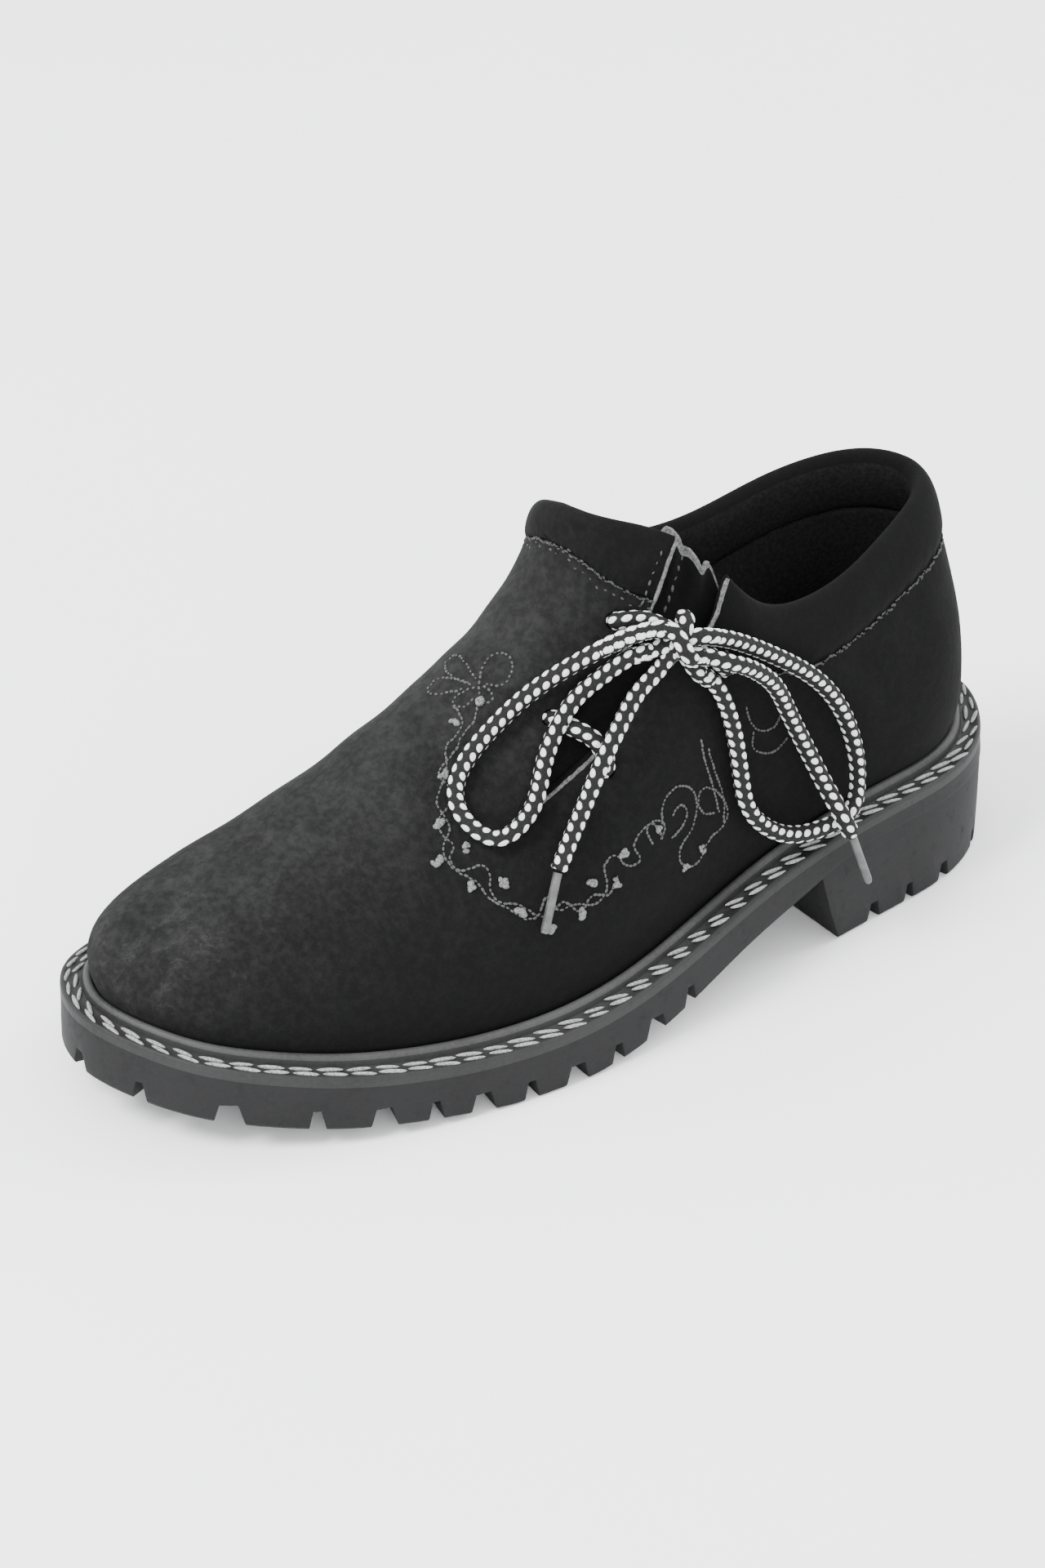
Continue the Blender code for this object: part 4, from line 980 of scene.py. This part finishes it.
def wedge(at, tangent, inward, low, high, wide_low, wide_high, reach_out, reach_in):
    pts = []
    for reach in (-reach_out, reach_in):
        for z, w in ((low, wide_low), (high, wide_high)):
            for s in (-0.5, 0.5):
                p = at + inward * reach + tangent * w * s
                pts.append((p[0], p[1], z))
    return pts, [(0, 1, 3, 2), (4, 6, 7, 5), (0, 4, 5, 1), (2, 3, 7, 6), (0, 2, 6, 4), (1, 5, 7, 3)]


def notch_row(rows, height):
    parts = []
    for share, tread, root in rows:
        for side in (0, 1):
            at, t, inward = edge_frame(side, share)
            low = height(at[1])
            grow = (tread - root) / LUG_DEEP
            parts.append(wedge(at, t, inward, low - 2.0, low + LUG_DEEP, tread + 2.0 * grow, root, 4.0, NOTCH_LONG))
    return parts


def sweep_cutter(line):
    rings = []
    for k, p in enumerate(line):
        t = line[min(k + 1, len(line) - 1)] - line[max(k - 1, 0)]
        s = np.array([t[1], -t[0]]) / np.linalg.norm(t) * CHANNEL_WIDE / 2.0
        lo = under(p[1])[0] - 2.0
        hi = lo + 6.0
        rings.append([(p[0] - s[0], p[1] - s[1], lo), (p[0] + s[0], p[1] + s[1], lo),
                      (p[0] + s[0], p[1] + s[1], hi), (p[0] - s[0], p[1] - s[1], hi)])
    return rod(np.array(rings))


def plate(sides, top, bottom, across=6):
    points = [p for ring in sides for p in ring]
    n = 2 * HALVES
    faces = []
    for r in range(len(sides) - 1):
        for k in range(n):
            a = r * n + k
            b = r * n + (k + 1) % n
            faces.append((a, b, b + n, a + n))
    for ring_at, height in ((0, top), (len(sides) - 1, bottom)):
        rows = [[ring_at * n]]
        for i in range(1, HALVES):
            one = sides[ring_at][i]
            two = sides[ring_at][n - i]
            row = [ring_at * n + i]
            for j in range(1, across):
                p = one + (two - one) * j / across
                points.append(np.array([p[0], p[1], height(p[1])[0]]))
                row.append(len(points) - 1)
            rows.append(row + [ring_at * n + n - i])
        rows.append([ring_at * n + HALVES])
        for one, two in zip(rows, rows[1:]):
            if len(one) == 1:
                faces += [(one[0], two[j], two[j + 1]) for j in range(len(two) - 1)]
            elif len(two) == 1:
                faces += [(one[j], two[0], one[j + 1]) for j in range(len(one) - 1)]
            else:
                faces += [(one[j], two[j], two[j + 1], one[j + 1]) for j in range(len(one) - 1)]
    return points, faces


def round_edges(ob, width, angle=32.0):
    m = ob.modifiers.new("edge", "BEVEL")
    m.width = width * MM
    m.segments = 2
    m.limit_method = "ANGLE"
    m.angle_limit = math.radians(angle)
    m.use_clamp_overlap = True
    settle(ob)
    ob.data.set_sharp_from_angle(angle=math.radians(50.0))


def make_outsole():
    def top(y):
        return ledge(y) - WELT_THICK - CLEAR
    sides = [level(0.06, lambda y: top(y) + 0.9), level(0.06, top),
             level(0.0, lambda y: top(y) - 0.4),
             level(0.0, lambda y: 0.75 * top(y) + 0.25 * under(y)),
             level(-0.2, lambda y: 0.4 * top(y) + 0.6 * under(y)),
             level(-0.3, lambda y: under(y) + 0.8), level(0.3, under)]
    pts, faces = plate(sides, top, under)
    sole = mesh_object("sole_layer", pts, faces, [SOLE_RUBBER])
    tip = EDGE[int(np.argmin(EDGE[:, 1]))]
    tip_low = under(tip[1])[0]
    parts = notch_row(NOTCHES, lambda y: under(y)[0])
    parts.append(wedge(tip, np.array([1.0, 0.0]), np.array([0.0, 1.0]), tip_low - 2.0, tip_low + LUG_DEEP,
                       8.0, 2.8, 4.0, NOTCH_LONG))
    tools = [parts]
    channels = []
    for side in (0, 1):
        line = split_sides(inset(CHANNEL_IN))[side]
        share = share_of(line[:, 1])
        channels.append(sweep_cutter(resample(line[(share > 0.50) & (share < 0.90)], 26)))
    tools.append(channels)
    grooves = []
    ring = paired(inset(CHANNEL_IN), HALVES)
    for share in CROSS_GROOVES:
        y = along(share)
        low = under(y)[0]
        near = ring[abs(ring[:, 1] - y) < 5.0]
        a, b = near[:, 0].min(), near[:, 0].max()
        grooves.append(wedge(np.array([0.5 * (a + b), y]), np.array([0.0, 1.0]), np.array([1.0, 0.0]),
                             low - 2.0, low + 4.0, 6.4, 2.4, 0.5 * (b - a), 0.5 * (b - a)))
    tools.append(grooves)
    for tool in tools:
        pts, faces = many(tool)
        cutter = mesh_object("sole_cutter", pts, faces, [SOLE_RUBBER], None, False)
        cut(sole, cutter)
        drop(cutter)
    round_edges(sole, 0.35)
    return sole


def make_heel():
    breast_top = along(BREAST_AT)
    breast_low = along(BREAST_AT - 0.027)
    rings = []
    for z_of, grow, breast in ((lambda y: under(y) + 2.0, 0.72, breast_top),
                               (lambda y: 0.45 * under(y), 0.62, 0.55 * breast_low + 0.45 * breast_top),
                               (lambda y: 0.0 * y + 1.1, 0.4, breast_low),
                               (lambda y: 0.0 * y + 0.35, 0.1, breast_low + 0.2),
                               (lambda y: 0.0 * y, -0.6, breast_low + 0.6)):
        ring = paired(inset(0.5 - grow), HALVES)
        outer = ring[:HALVES + 1]
        inner = np.vstack([ring[HALVES:], ring[:1]])[::-1]
        half = []
        for side in (outer, inner):
            k = int(np.argmax(side[:, 1] < breast))
            f = (side[k - 1, 1] - breast) / (side[k - 1, 1] - side[k, 1])
            half.append(resample(np.vstack([side[:k], side[k - 1] + (side[k] - side[k - 1]) * f]), 44))
        front = half[0][-1] + (half[1][-1] - half[0][-1]) * np.linspace(0.0, 1.0, 7)[1:-1, None]
        loop = np.vstack([half[0], front, half[1][::-1][:-1]])
        rings.append(np.column_stack([loop, z_of(loop[:, 1])]))
    pts, faces = rod(np.array(rings))
    heel = mesh_object("heel_lugs", pts, faces, [SOLE_RUBBER])
    pts, faces = many(notch_row(HEEL_NOTCHES, lambda y: 0.0))
    cutter = mesh_object("heel_cutter", pts, faces, [SOLE_RUBBER], None, False)
    cut(heel, cutter)
    drop(cutter)
    round_edges(heel, 0.35)
    return heel


finish_piece(make_outsole(), "grey_rubber", "outsole")
finish_piece(make_heel(), "grey_rubber", "heel_block")


def make_welt():
    """Welt strip with a raised bead beside the upper and a shallow bed for the stitching."""
    form = [
        # inset, height over the ledge
        (0.0, -3.3), (0.0, -1.3), (0.06, -0.75), (0.3, -0.28), (0.75, -0.02),
        (1.1, 0.02), (1.5, -0.28), (3.4, -0.34), (5.0, -0.28), (5.4, 0.02), (5.85, 0.0),
        (6.05, 0.7), (6.25, 1.6), (6.7, 2.5), (7.4, 2.95), (8.2, 2.85), (8.8, 2.2), (9.1, 1.1),
        (9.2, 0.0), (13.2, 0.0), (13.2, -3.0),
    ]
    rings = [level(d, lambda y, up=z: ledge(y) + up) for d, z in form]
    pts, faces = hoop(np.array(rings).transpose(1, 0, 2))
    # The bead's top rows take the paler rubber, a painted highlight.
    picks = [1 if 12 <= f % len(form) <= 16 else 0 for f in range(len(faces))]
    ob = mesh_object("welt_strip", pts, faces, [WELT_RUBBER, BEAD_PAINTED_HIGHLIGHT], picks)
    ob.data.set_sharp_from_angle(angle=math.radians(60.0))
    return ob


finish_piece(make_welt(), "grey_welt", "welt")

insole = NODES["insole"]
insole.data.materials.clear()
insole.data.materials.append(LINING)


def stitch_tree():
    """Geometry nodes that set one stitch on each point, laid along aim and facing out."""
    tree = bpy.data.node_groups.new("stitches", "GeometryNodeTree")
    face = tree.interface
    face.new_socket("Geometry", in_out="INPUT", socket_type="NodeSocketGeometry")
    face.new_socket("Geometry", in_out="OUTPUT", socket_type="NodeSocketGeometry")
    for label, kind, value in (("Long", "NodeSocketFloat", 0.003), ("Thick", "NodeSocketFloat", 0.0006),
                               ("High", "NodeSocketFloat", 0.0006), ("Sides", "NodeSocketInt", 6),
                               ("Rings", "NodeSocketInt", 5)):
        face.new_socket(label, in_out="INPUT", socket_type=kind).default_value = value
    face.new_socket("Thread", in_out="INPUT", socket_type="NodeSocketMaterial")
    new = tree.nodes.new
    link = tree.links.new
    given = new("NodeGroupInput")
    ball = new("GeometryNodeMeshUVSphere")
    ball.inputs["Radius"].default_value = 0.5
    link(given.outputs["Sides"], ball.inputs["Segments"])
    link(given.outputs["Rings"], ball.inputs["Rings"])
    size = new("ShaderNodeCombineXYZ")
    for label, axis in (("Long", "X"), ("Thick", "Y"), ("High", "Z")):
        link(given.outputs[label], size.inputs[axis])
    shape = new("GeometryNodeTransform")
    link(ball.outputs["Mesh"], shape.inputs["Geometry"])
    link(size.outputs[0], shape.inputs["Scale"])
    way = []
    for label in ("out", "aim"):
        read = new("GeometryNodeInputNamedAttribute")
        read.data_type = "FLOAT_VECTOR"
        read.inputs["Name"].default_value = label
        way.append(read)
    grow = new("GeometryNodeInputNamedAttribute")
    grow.data_type = "FLOAT"
    grow.inputs["Name"].default_value = "grow"
    up = new("FunctionNodeAlignRotationToVector")
    up.axis = "Z"
    link(way[0].outputs["Attribute"], up.inputs["Vector"])
    turn = new("FunctionNodeAlignRotationToVector")
    turn.axis = "X"
    turn.pivot_axis = "Z"
    link(up.outputs["Rotation"], turn.inputs["Rotation"])
    link(way[1].outputs["Attribute"], turn.inputs["Vector"])
    put = new("GeometryNodeInstanceOnPoints")
    link(given.outputs["Geometry"], put.inputs["Points"])
    link(shape.outputs["Geometry"], put.inputs["Instance"])
    link(turn.outputs["Rotation"], put.inputs["Rotation"])
    link(grow.outputs["Attribute"], put.inputs["Scale"])
    real = new("GeometryNodeRealizeInstances")
    link(put.outputs["Instances"], real.inputs["Geometry"])
    soft = new("GeometryNodeSetShadeSmooth")
    link(real.outputs["Geometry"], soft.inputs["Geometry"])
    paint = new("GeometryNodeSetMaterial")
    link(soft.outputs["Geometry"], paint.inputs["Geometry"])
    link(given.outputs["Thread"], paint.inputs["Material"])
    done = new("NodeGroupOutput")
    link(paint.outputs["Geometry"], done.inputs["Geometry"])
    return tree


STITCHES = stitch_tree()


def sew(name, spots, aims, outs, thread, slot, grow=None, **sizes):
    """A row of stitches as one piece: spots in millimetres, sizes in millimetres too."""
    mesh = bpy.data.meshes.new(name)
    mesh.from_pydata([tuple(float(c) * MM for c in p) for p in spots], [], [])
    grow = np.ones(len(spots)) if grow is None else np.asarray(grow)
    for label, kind, values in (("aim", "FLOAT_VECTOR", aims), ("out", "FLOAT_VECTOR", outs), ("grow", "FLOAT", grow)):
        field = mesh.attributes.new(label, kind, "POINT")
        field.data.foreach_set("vector" if kind == "FLOAT_VECTOR" else "value", np.asarray(values, np.float32).ravel())
    ob = bpy.data.objects.new(name, mesh)
    bpy.context.scene.collection.objects.link(ob)
    m = ob.modifiers.new("stitches", "NODES")
    m.node_group = STITCHES
    for item in STITCHES.interface.items_tree:
        if item.in_out == "INPUT" and item.name in sizes:
            value = sizes[item.name]
            m[item.identifier] = value if isinstance(value, int) else value * MM
        if item.in_out == "INPUT" and item.name == "Thread":
            m[item.identifier] = thread
    settle(ob)
    return finish_piece(ob, slot)


def ring_stitches(distance, pitch, slant, offset, lift):
    """Stitches round the welt at an inset, each turned a little from the edge's way."""
    line = level(distance, lambda y: ledge(y) + lift)
    ring = np.vstack([line, line[:1]])
    whole = runs_of(ring)[-1]
    count = int(whole / pitch)
    run = runs_of(ring)
    want = (np.arange(count) + offset) * whole / count % whole
    spots = np.column_stack([np.interp(want, run, ring[:, k]) for k in range(3)])
    ahead = np.column_stack([np.interp((want + 1.0) % whole, run, ring[:, k]) for k in range(3)])
    aims = ahead - spots
    aims /= np.linalg.norm(aims, axis=1)[:, None]
    turn = np.radians(slant + rng.normal(0.0, 5.0, count))
    c, s = np.cos(turn), np.sin(turn)
    aims = np.column_stack([aims[:, 0] * c - aims[:, 1] * s, aims[:, 0] * s + aims[:, 1] * c, aims[:, 2]])
    return spots, aims, np.tile([0.0, 0.0, 1.0], (count, 1))


rng = np.random.RandomState(5)
for name, distance, slant, offset in (("welt_stitch_outer", 1.95, -14.0, 0.0), ("welt_stitch_inner", 4.30, -14.0, 0.5)):
    spots, aims, outs = ring_stitches(distance, 7.9, slant, offset, 0.0)
    sew(name, spots, aims, outs, WHITE_THREAD, "grey_welt", 1.0 + rng.uniform(-0.16, 0.08, len(spots)),
        Long=7.4, Thick=1.25, High=1.20, Sides=10, Rings=10)


def line_stitches(route, pitch, lift, wobble=0.0, seed=1):
    """Short stitches along a drawn line on the upper."""
    line = smooth_line(route, pitch)
    spots, outs = on_upper(line, lift)
    r = np.random.RandomState(seed)
    spots = spots + r.uniform(-wobble, wobble, spots.shape)
    aims = np.gradient(spots, axis=0)
    aims /= np.linalg.norm(aims, axis=1)[:, None]
    return spots, aims, outs


def sew_lines(name, lines, pitch, thread, lift, wobble, **sizes):
    rows = [line_stitches(line, pitch, lift, wobble, 3 + k) for k, line in enumerate(lines)]
    spots, aims, outs = (np.vstack([r[k] for r in rows]) for k in range(3))
    r = np.random.RandomState(8)
    return sew(name, spots, aims, outs, thread, "black_suede", r.uniform(0.75, 1.15, len(spots)), **sizes)


sew_lines("vine_stitching", VINE, 1.45, VINE_THREAD, 0.10, 0.14, Long=1.5, Thick=0.80, High=0.6, Sides=7, Rings=5)
sew_lines("blossom_stitching", BLOSSOM, 1.5, VINE_THREAD, 0.10, 0.16, Long=1.15, Thick=0.85, High=0.6, Sides=7, Rings=5)
sew_lines("scroll_stitching", SCROLL, 1.25, VINE_THREAD, 0.08, 0.10, Long=1.35, Thick=0.82, High=0.6, Sides=7, Rings=5)

spots, outs = on_upper([b[0] for b in BERRIES], 0.25)
r = np.random.RandomState(21)
wraps = [(p + np.cross(out, r.normal(0.0, 0.55, 3)), r.normal(0.0, 1.0, 3), out, b[1] * r.uniform(0.8, 1.15))
         for p, out, b in zip(spots, outs, BERRIES) for _ in range(6)]
sew("berry_knots", [w[0] for w in wraps], [w[1] for w in wraps], [w[2] for w in wraps], BERRY_THREAD, "black_suede",
    [w[3] for w in wraps], Long=1.9, Thick=1.35, High=1.25, Sides=10, Rings=8)


def scattered(name, row, thread, seed, **sizes):
    """Short crooked stitches and flecks of thread: places with outs and aims, turned and sized a little apart."""
    spots, aims, outs = row
    r = np.random.RandomState(seed)
    aims = aims + r.normal(0.0, 0.35, aims.shape)
    return sew(name, spots, aims, outs, thread, "black_suede", r.uniform(0.5, 1.15, len(spots)), **sizes)


def round_collar(pitch, above, spread, lift, seed, keep=lambda place: place > -1.0):
    """Places along the collar's seam, a height above it, scattered, and left out at the opening."""
    r = np.random.RandomState(seed)
    place = np.arange(1201) / 1200.0
    p, _ = skin(place, reach_at(place) - band_high(place) + above)
    far = runs_of(p)
    at = np.interp(np.arange(0.0, far[-1], pitch), far, place)
    at = at[((at < REAR_EDGE - 0.004) | (at > FRONT_EDGE + 0.006)) & keep(at)]
    up = above + r.normal(0.0, spread, len(at))
    p, normal = skin(at, reach_at(at) - band_high(at) + up)
    ahead, _ = skin(at + 0.002, reach_at(at + 0.002) - band_high(at + 0.002) + up)
    aims = ahead - p
    return p + normal * lift, aims / np.linalg.norm(aims, axis=1)[:, None], normal


def at_front(place):
    return (place > 0.30) & (place < 0.66)


scattered("collar_seam_ridge", round_collar(0.95, -0.5, 0.30, 0.05, 3), DARK_THREAD, 4,
          Long=1.6, Thick=0.75, High=0.6, Sides=7, Rings=5)
scattered("collar_seam_flecks", round_collar(2.6, -2.6, 0.8, 0.0, 9, at_front), DARK_THREAD, 12,
          Long=1.3, Thick=0.7, High=0.4, Sides=7, Rings=5)

spots, outs = opening_edge(0, 2.9)
rows = []
for toward, lift in ((1.0, 0.25), (-1.0, -2.2)):
    back_a_bit = np.array([0.0, -3.6 * toward, 0.0])
    for p in spots[:8]:
        found = from_side(p[1] + back_a_bit[1], p[2] - 1.2)
        if found is not None:
            rows.append((found[0] + found[1] * lift, found[1]))
edge_spots = np.array([r[0] for r in rows])
edge_outs = np.array([r[1] for r in rows])
edge_aims = np.tile([0.15, -0.45, -0.88], (len(rows), 1))
scattered("opening_edge_stitches", (edge_spots, edge_aims, edge_outs), DARK_THREAD, 7,
          Long=2.0, Thick=0.8, High=0.5, Sides=7, Rings=5)


def float_height(turn, run):
    """Relief of the braid in millimetres: white floats stand highest, black yarns between them."""
    u = turn * COLUMNS
    column = np.floor(u + 0.5)
    side = (u - column) * 2.0 * math.pi * CORD_R / COLUMNS
    step = run / FLOAT_PITCH - (column % 2.0) * 0.5
    ahead = (step - np.floor(step + 0.5)) * FLOAT_PITCH
    c, t = math.cos(FLOAT_TURN), math.sin(FLOAT_TURN)
    far = ((side * c + ahead * t) / FLOAT_WIDE) ** 2 + ((ahead * c - side * t) / FLOAT_LONG) ** 2
    dark = 1.0 - (side / 1.3) ** 2 - ((FLOAT_PITCH * 0.5 - abs(ahead)) / 0.7) ** 2
    return 0.36 * np.clip(1.0 - far, 0.0, 1.0) ** 0.5 + 0.12 * np.clip(dark, 0.0, 1.0)


def tube(line, sides=24, radius=CORD_R):
    """Rings of a braided cord along a line, and how far along each stands."""
    run = runs_of(line)
    t = np.gradient(line, axis=0)
    t /= np.linalg.norm(t, axis=1)[:, None]
    side = np.cross(t[0], [0.0, 0.0, 1.0])
    side /= np.linalg.norm(side)
    a = 2.0 * math.pi * np.arange(sides) / sides
    rings = []
    for k, p in enumerate(line):
        side = side - t[k] * side.dot(t[k])
        side /= np.linalg.norm(side)
        other = np.cross(t[k], side)
        r = radius - 0.22 + float_height(np.arange(sides) / sides, run[k])
        end = min(run[k], run[-1] - run[k])
        r = r * (1.0 if end > 1.0 else 0.72 + 0.28 * math.sqrt(max(0.0, 1.0 - (1.0 - end) ** 2)))
        rings.append(p + (side * np.cos(a)[:, None] + other * np.sin(a)[:, None]) * r[:, None])
    return np.array(rings), run


def braid(name, routes, step=0.55):
    """A braided cord, or several, as mesh tubes mapped round and along; and the line of the first."""
    parts = []
    maps = []
    lines = []
    for route in routes:
        line = smooth_line(route, step)
        rings, run = tube(line)
        parts.append(rod(rings))
        n = rings.shape[1]
        for i in range(len(line) - 1):
            for k in range(n):
                maps += [(k / n, run[i]), ((k + 1) / n, run[i]), ((k + 1) / n, run[i + 1]), (k / n, run[i + 1])]
        maps += [(0.125, 0.8)] * (2 * n)
        lines.append(line)
    pts, faces = many(parts)
    ob = mesh_object(name, pts, faces, [CORD], None, True, False)
    layer = ob.data.uv_layers.new(name="braid")
    flat = np.array(maps, np.float32)
    flat[:, 1] *= MM
    layer.data.foreach_set("uv", flat.ravel())
    shell = bmesh.new()
    shell.from_mesh(ob.data)
    if shell.calc_volume(signed=True) < 0.0:
        bmesh.ops.reverse_faces(shell, faces=shell.faces)
    shell.to_mesh(ob.data)
    shell.free()
    return ob, lines[0]


def through(route, first, last):
    """A crossing's route run on through its two eyelets to the inside of the shoe."""
    way = []
    for at, out in (EYELETS[first], EYELETS[last]):
        at = np.array(at)
        out = np.array(out) / np.linalg.norm(out)
        way.append([at - out * 4.2, at - out * 0.5, at + out * 1.6])
    return way[0][:2] + [way[0][2] * 0.35 + np.array(route[0]) * 0.65] + [np.array(p) for p in route[1:-1]] \
        + [way[1][2] * 0.35 + np.array(route[-1]) * 0.65] + way[1][:2][::-1]


def knot_turns():
    """The bow's knot: a turn over the upper crossing, a slanting turn, and the strands that run into it."""
    at = np.array(KNOT_AT)
    t = np.array(KNOT_ALONG) / np.linalg.norm(KNOT_ALONG)
    out = np.array(KNOT_OUT)
    out = out - t * out.dot(t)
    out = out / np.linalg.norm(out)
    down = np.cross(t, out)
    if down[2] > 0.0:
        down = -down
    turns = [[at + (down * math.cos(a) + out * math.sin(a)) * KNOT_R
              for a in (math.radians(-14.0 + 208.0 * k / 8.0) for k in range(9))]]
    turns.append([LOOP_FRONT[2], LOOP_FRONT[1], LOOP_FRONT[0], (39.2, 13.4, 112.0), (39.2, 15.6, 108.4),
                  (36.4, 17.4, 106.4)])
    for strand in (LOOP_FRONT[::-1], LOOP_REAR, LOOP_REAR[::-1], END_FRONT, END_REAR):
        turns.append([strand[1], strand[0], tuple(0.45 * np.array(strand[0]) + 0.55 * np.array(KNOT_HEART)),
                      KNOT_HEART])
    return turns


cords = {}
for name, route, node in (("lace_crossing_top", through(BAR_TOP, 0, 3), "lace_bar_top"),
                          ("lace_crossing_low", through(BAR_LOW, 1, 2), "lace_bar_low"),
                          ("bow_knot", knot_turns(), "lace_knot"),
                          ("bow_loop_front", LOOP_FRONT, "lace_loop_front"),
                          ("bow_loop_rear", LOOP_REAR, "lace_loop_rear"),
                          ("bow_end_front", END_FRONT, "lace_end_front"),
                          ("bow_end_rear", END_REAR, "lace_end_rear")):
    ob, line = braid(name, route if name == "bow_knot" else [route])
    finish_piece(ob, "checked_cord", node)
    cords[name] = (ob, line)

for node in ("aglet_front", "aglet_rear"):
    NODES[node].data.materials.clear()
    NODES[node].data.materials.append(TIP)

for name, far, lay, extra in (("bow_loop_front", "object", "hanging", []), ("bow_loop_rear", "object", "hanging", []),
                              ("bow_end_front", "fitting", "hanging", [NODES["aglet_front"]]),
                              ("bow_end_rear", "fitting", "hanging", [NODES["aglet_rear"]])):
    ob, line = cords[name]

drop(slit, holes)

# Pale floor, soft light and the camera at the photograph's angle.
floor_paint = Finish("pale_floor", Roughness=0.7, Specular_IOR_Level=0.2)
floor_paint.feed("Base Color", floor_paint.mix(floor_paint.noise(6.0, 3.0).ramp(0.3, 0.7), grey(0.965), grey(0.98)))
floor_mesh = bpy.data.meshes.new("floor")
floor_mesh.from_pydata([(-6.0, -6.0, 0.0), (6.0, -6.0, 0.0), (6.0, 6.0, 0.0), (-6.0, 6.0, 0.0)], [], [(0, 1, 2, 3)])
floor_mesh.materials.append(floor_paint.material)
floor = bpy.data.objects.new("floor", floor_mesh)
floor.location.z = -0.0002
bpy.context.scene.collection.objects.link(floor)

world = bpy.data.worlds.new("studio")
bpy.context.scene.world = world
world.use_nodes = True
world.node_tree.nodes["Background"].inputs["Color"].default_value = (0.97, 0.98, 1.0, 1.0)
world.node_tree.nodes["Background"].inputs["Strength"].default_value = 2.3


def softbox(name, place, size, power):
    """Area light aimed at the shoe."""
    light = bpy.data.lights.new(name, "AREA")
    light.shape = "DISK"
    light.size = size
    light.energy = power
    ob = bpy.data.objects.new(name, light)
    ob.location = place
    ob.rotation_mode = "QUATERNION"
    ob.rotation_quaternion = (Vector((0.0, 0.0, 0.06)) - Vector(place)).to_track_quat("-Z", "Y")
    bpy.context.scene.collection.objects.link(ob)


softbox("key_light", (-0.1, -1.4, 1.8), 1.0, 84.0)
softbox("side_light", (1.9, -0.7, 0.9), 1.2, 20.0)
softbox("back_light", (0.2, 1.9, 1.6), 1.2, 36.0)

AZIMUTH = math.radians(54.1)
ELEVATION = math.radians(33.3)
DISTANCE = 1.388
PHOTO_F = 4260.0
PHOTO_CENTRE = (813.4, 1119.3)
AIM_AT = (791.5, 982.0)
CLOSER = 1.4
back = Vector((math.sin(AZIMUTH) * math.cos(ELEVATION), -math.cos(AZIMUTH) * math.cos(ELEVATION), math.sin(ELEVATION)))
right = Vector((math.cos(AZIMUTH), math.sin(AZIMUTH), 0.0))
lift = back.cross(right)
aim = -back + right * ((AIM_AT[0] - PHOTO_CENTRE[0]) / PHOTO_F) - lift * ((AIM_AT[1] - PHOTO_CENTRE[1]) / PHOTO_F)
camera = bpy.data.cameras.new("camera")
camera.lens = PHOTO_F * CLOSER / 1920.0 * 36.0
camera.sensor_width = 36.0
eye = bpy.data.objects.new("camera", camera)
eye.location = back * DISTANCE - Vector((MID_X * MM, 0.0, 0.0))
eye.rotation_mode = "QUATERNION"
eye.rotation_quaternion = aim.to_track_quat("-Z", "Y")
bpy.context.scene.collection.objects.link(eye)
bpy.context.scene.camera = eye

bpy.context.view_layer.update()
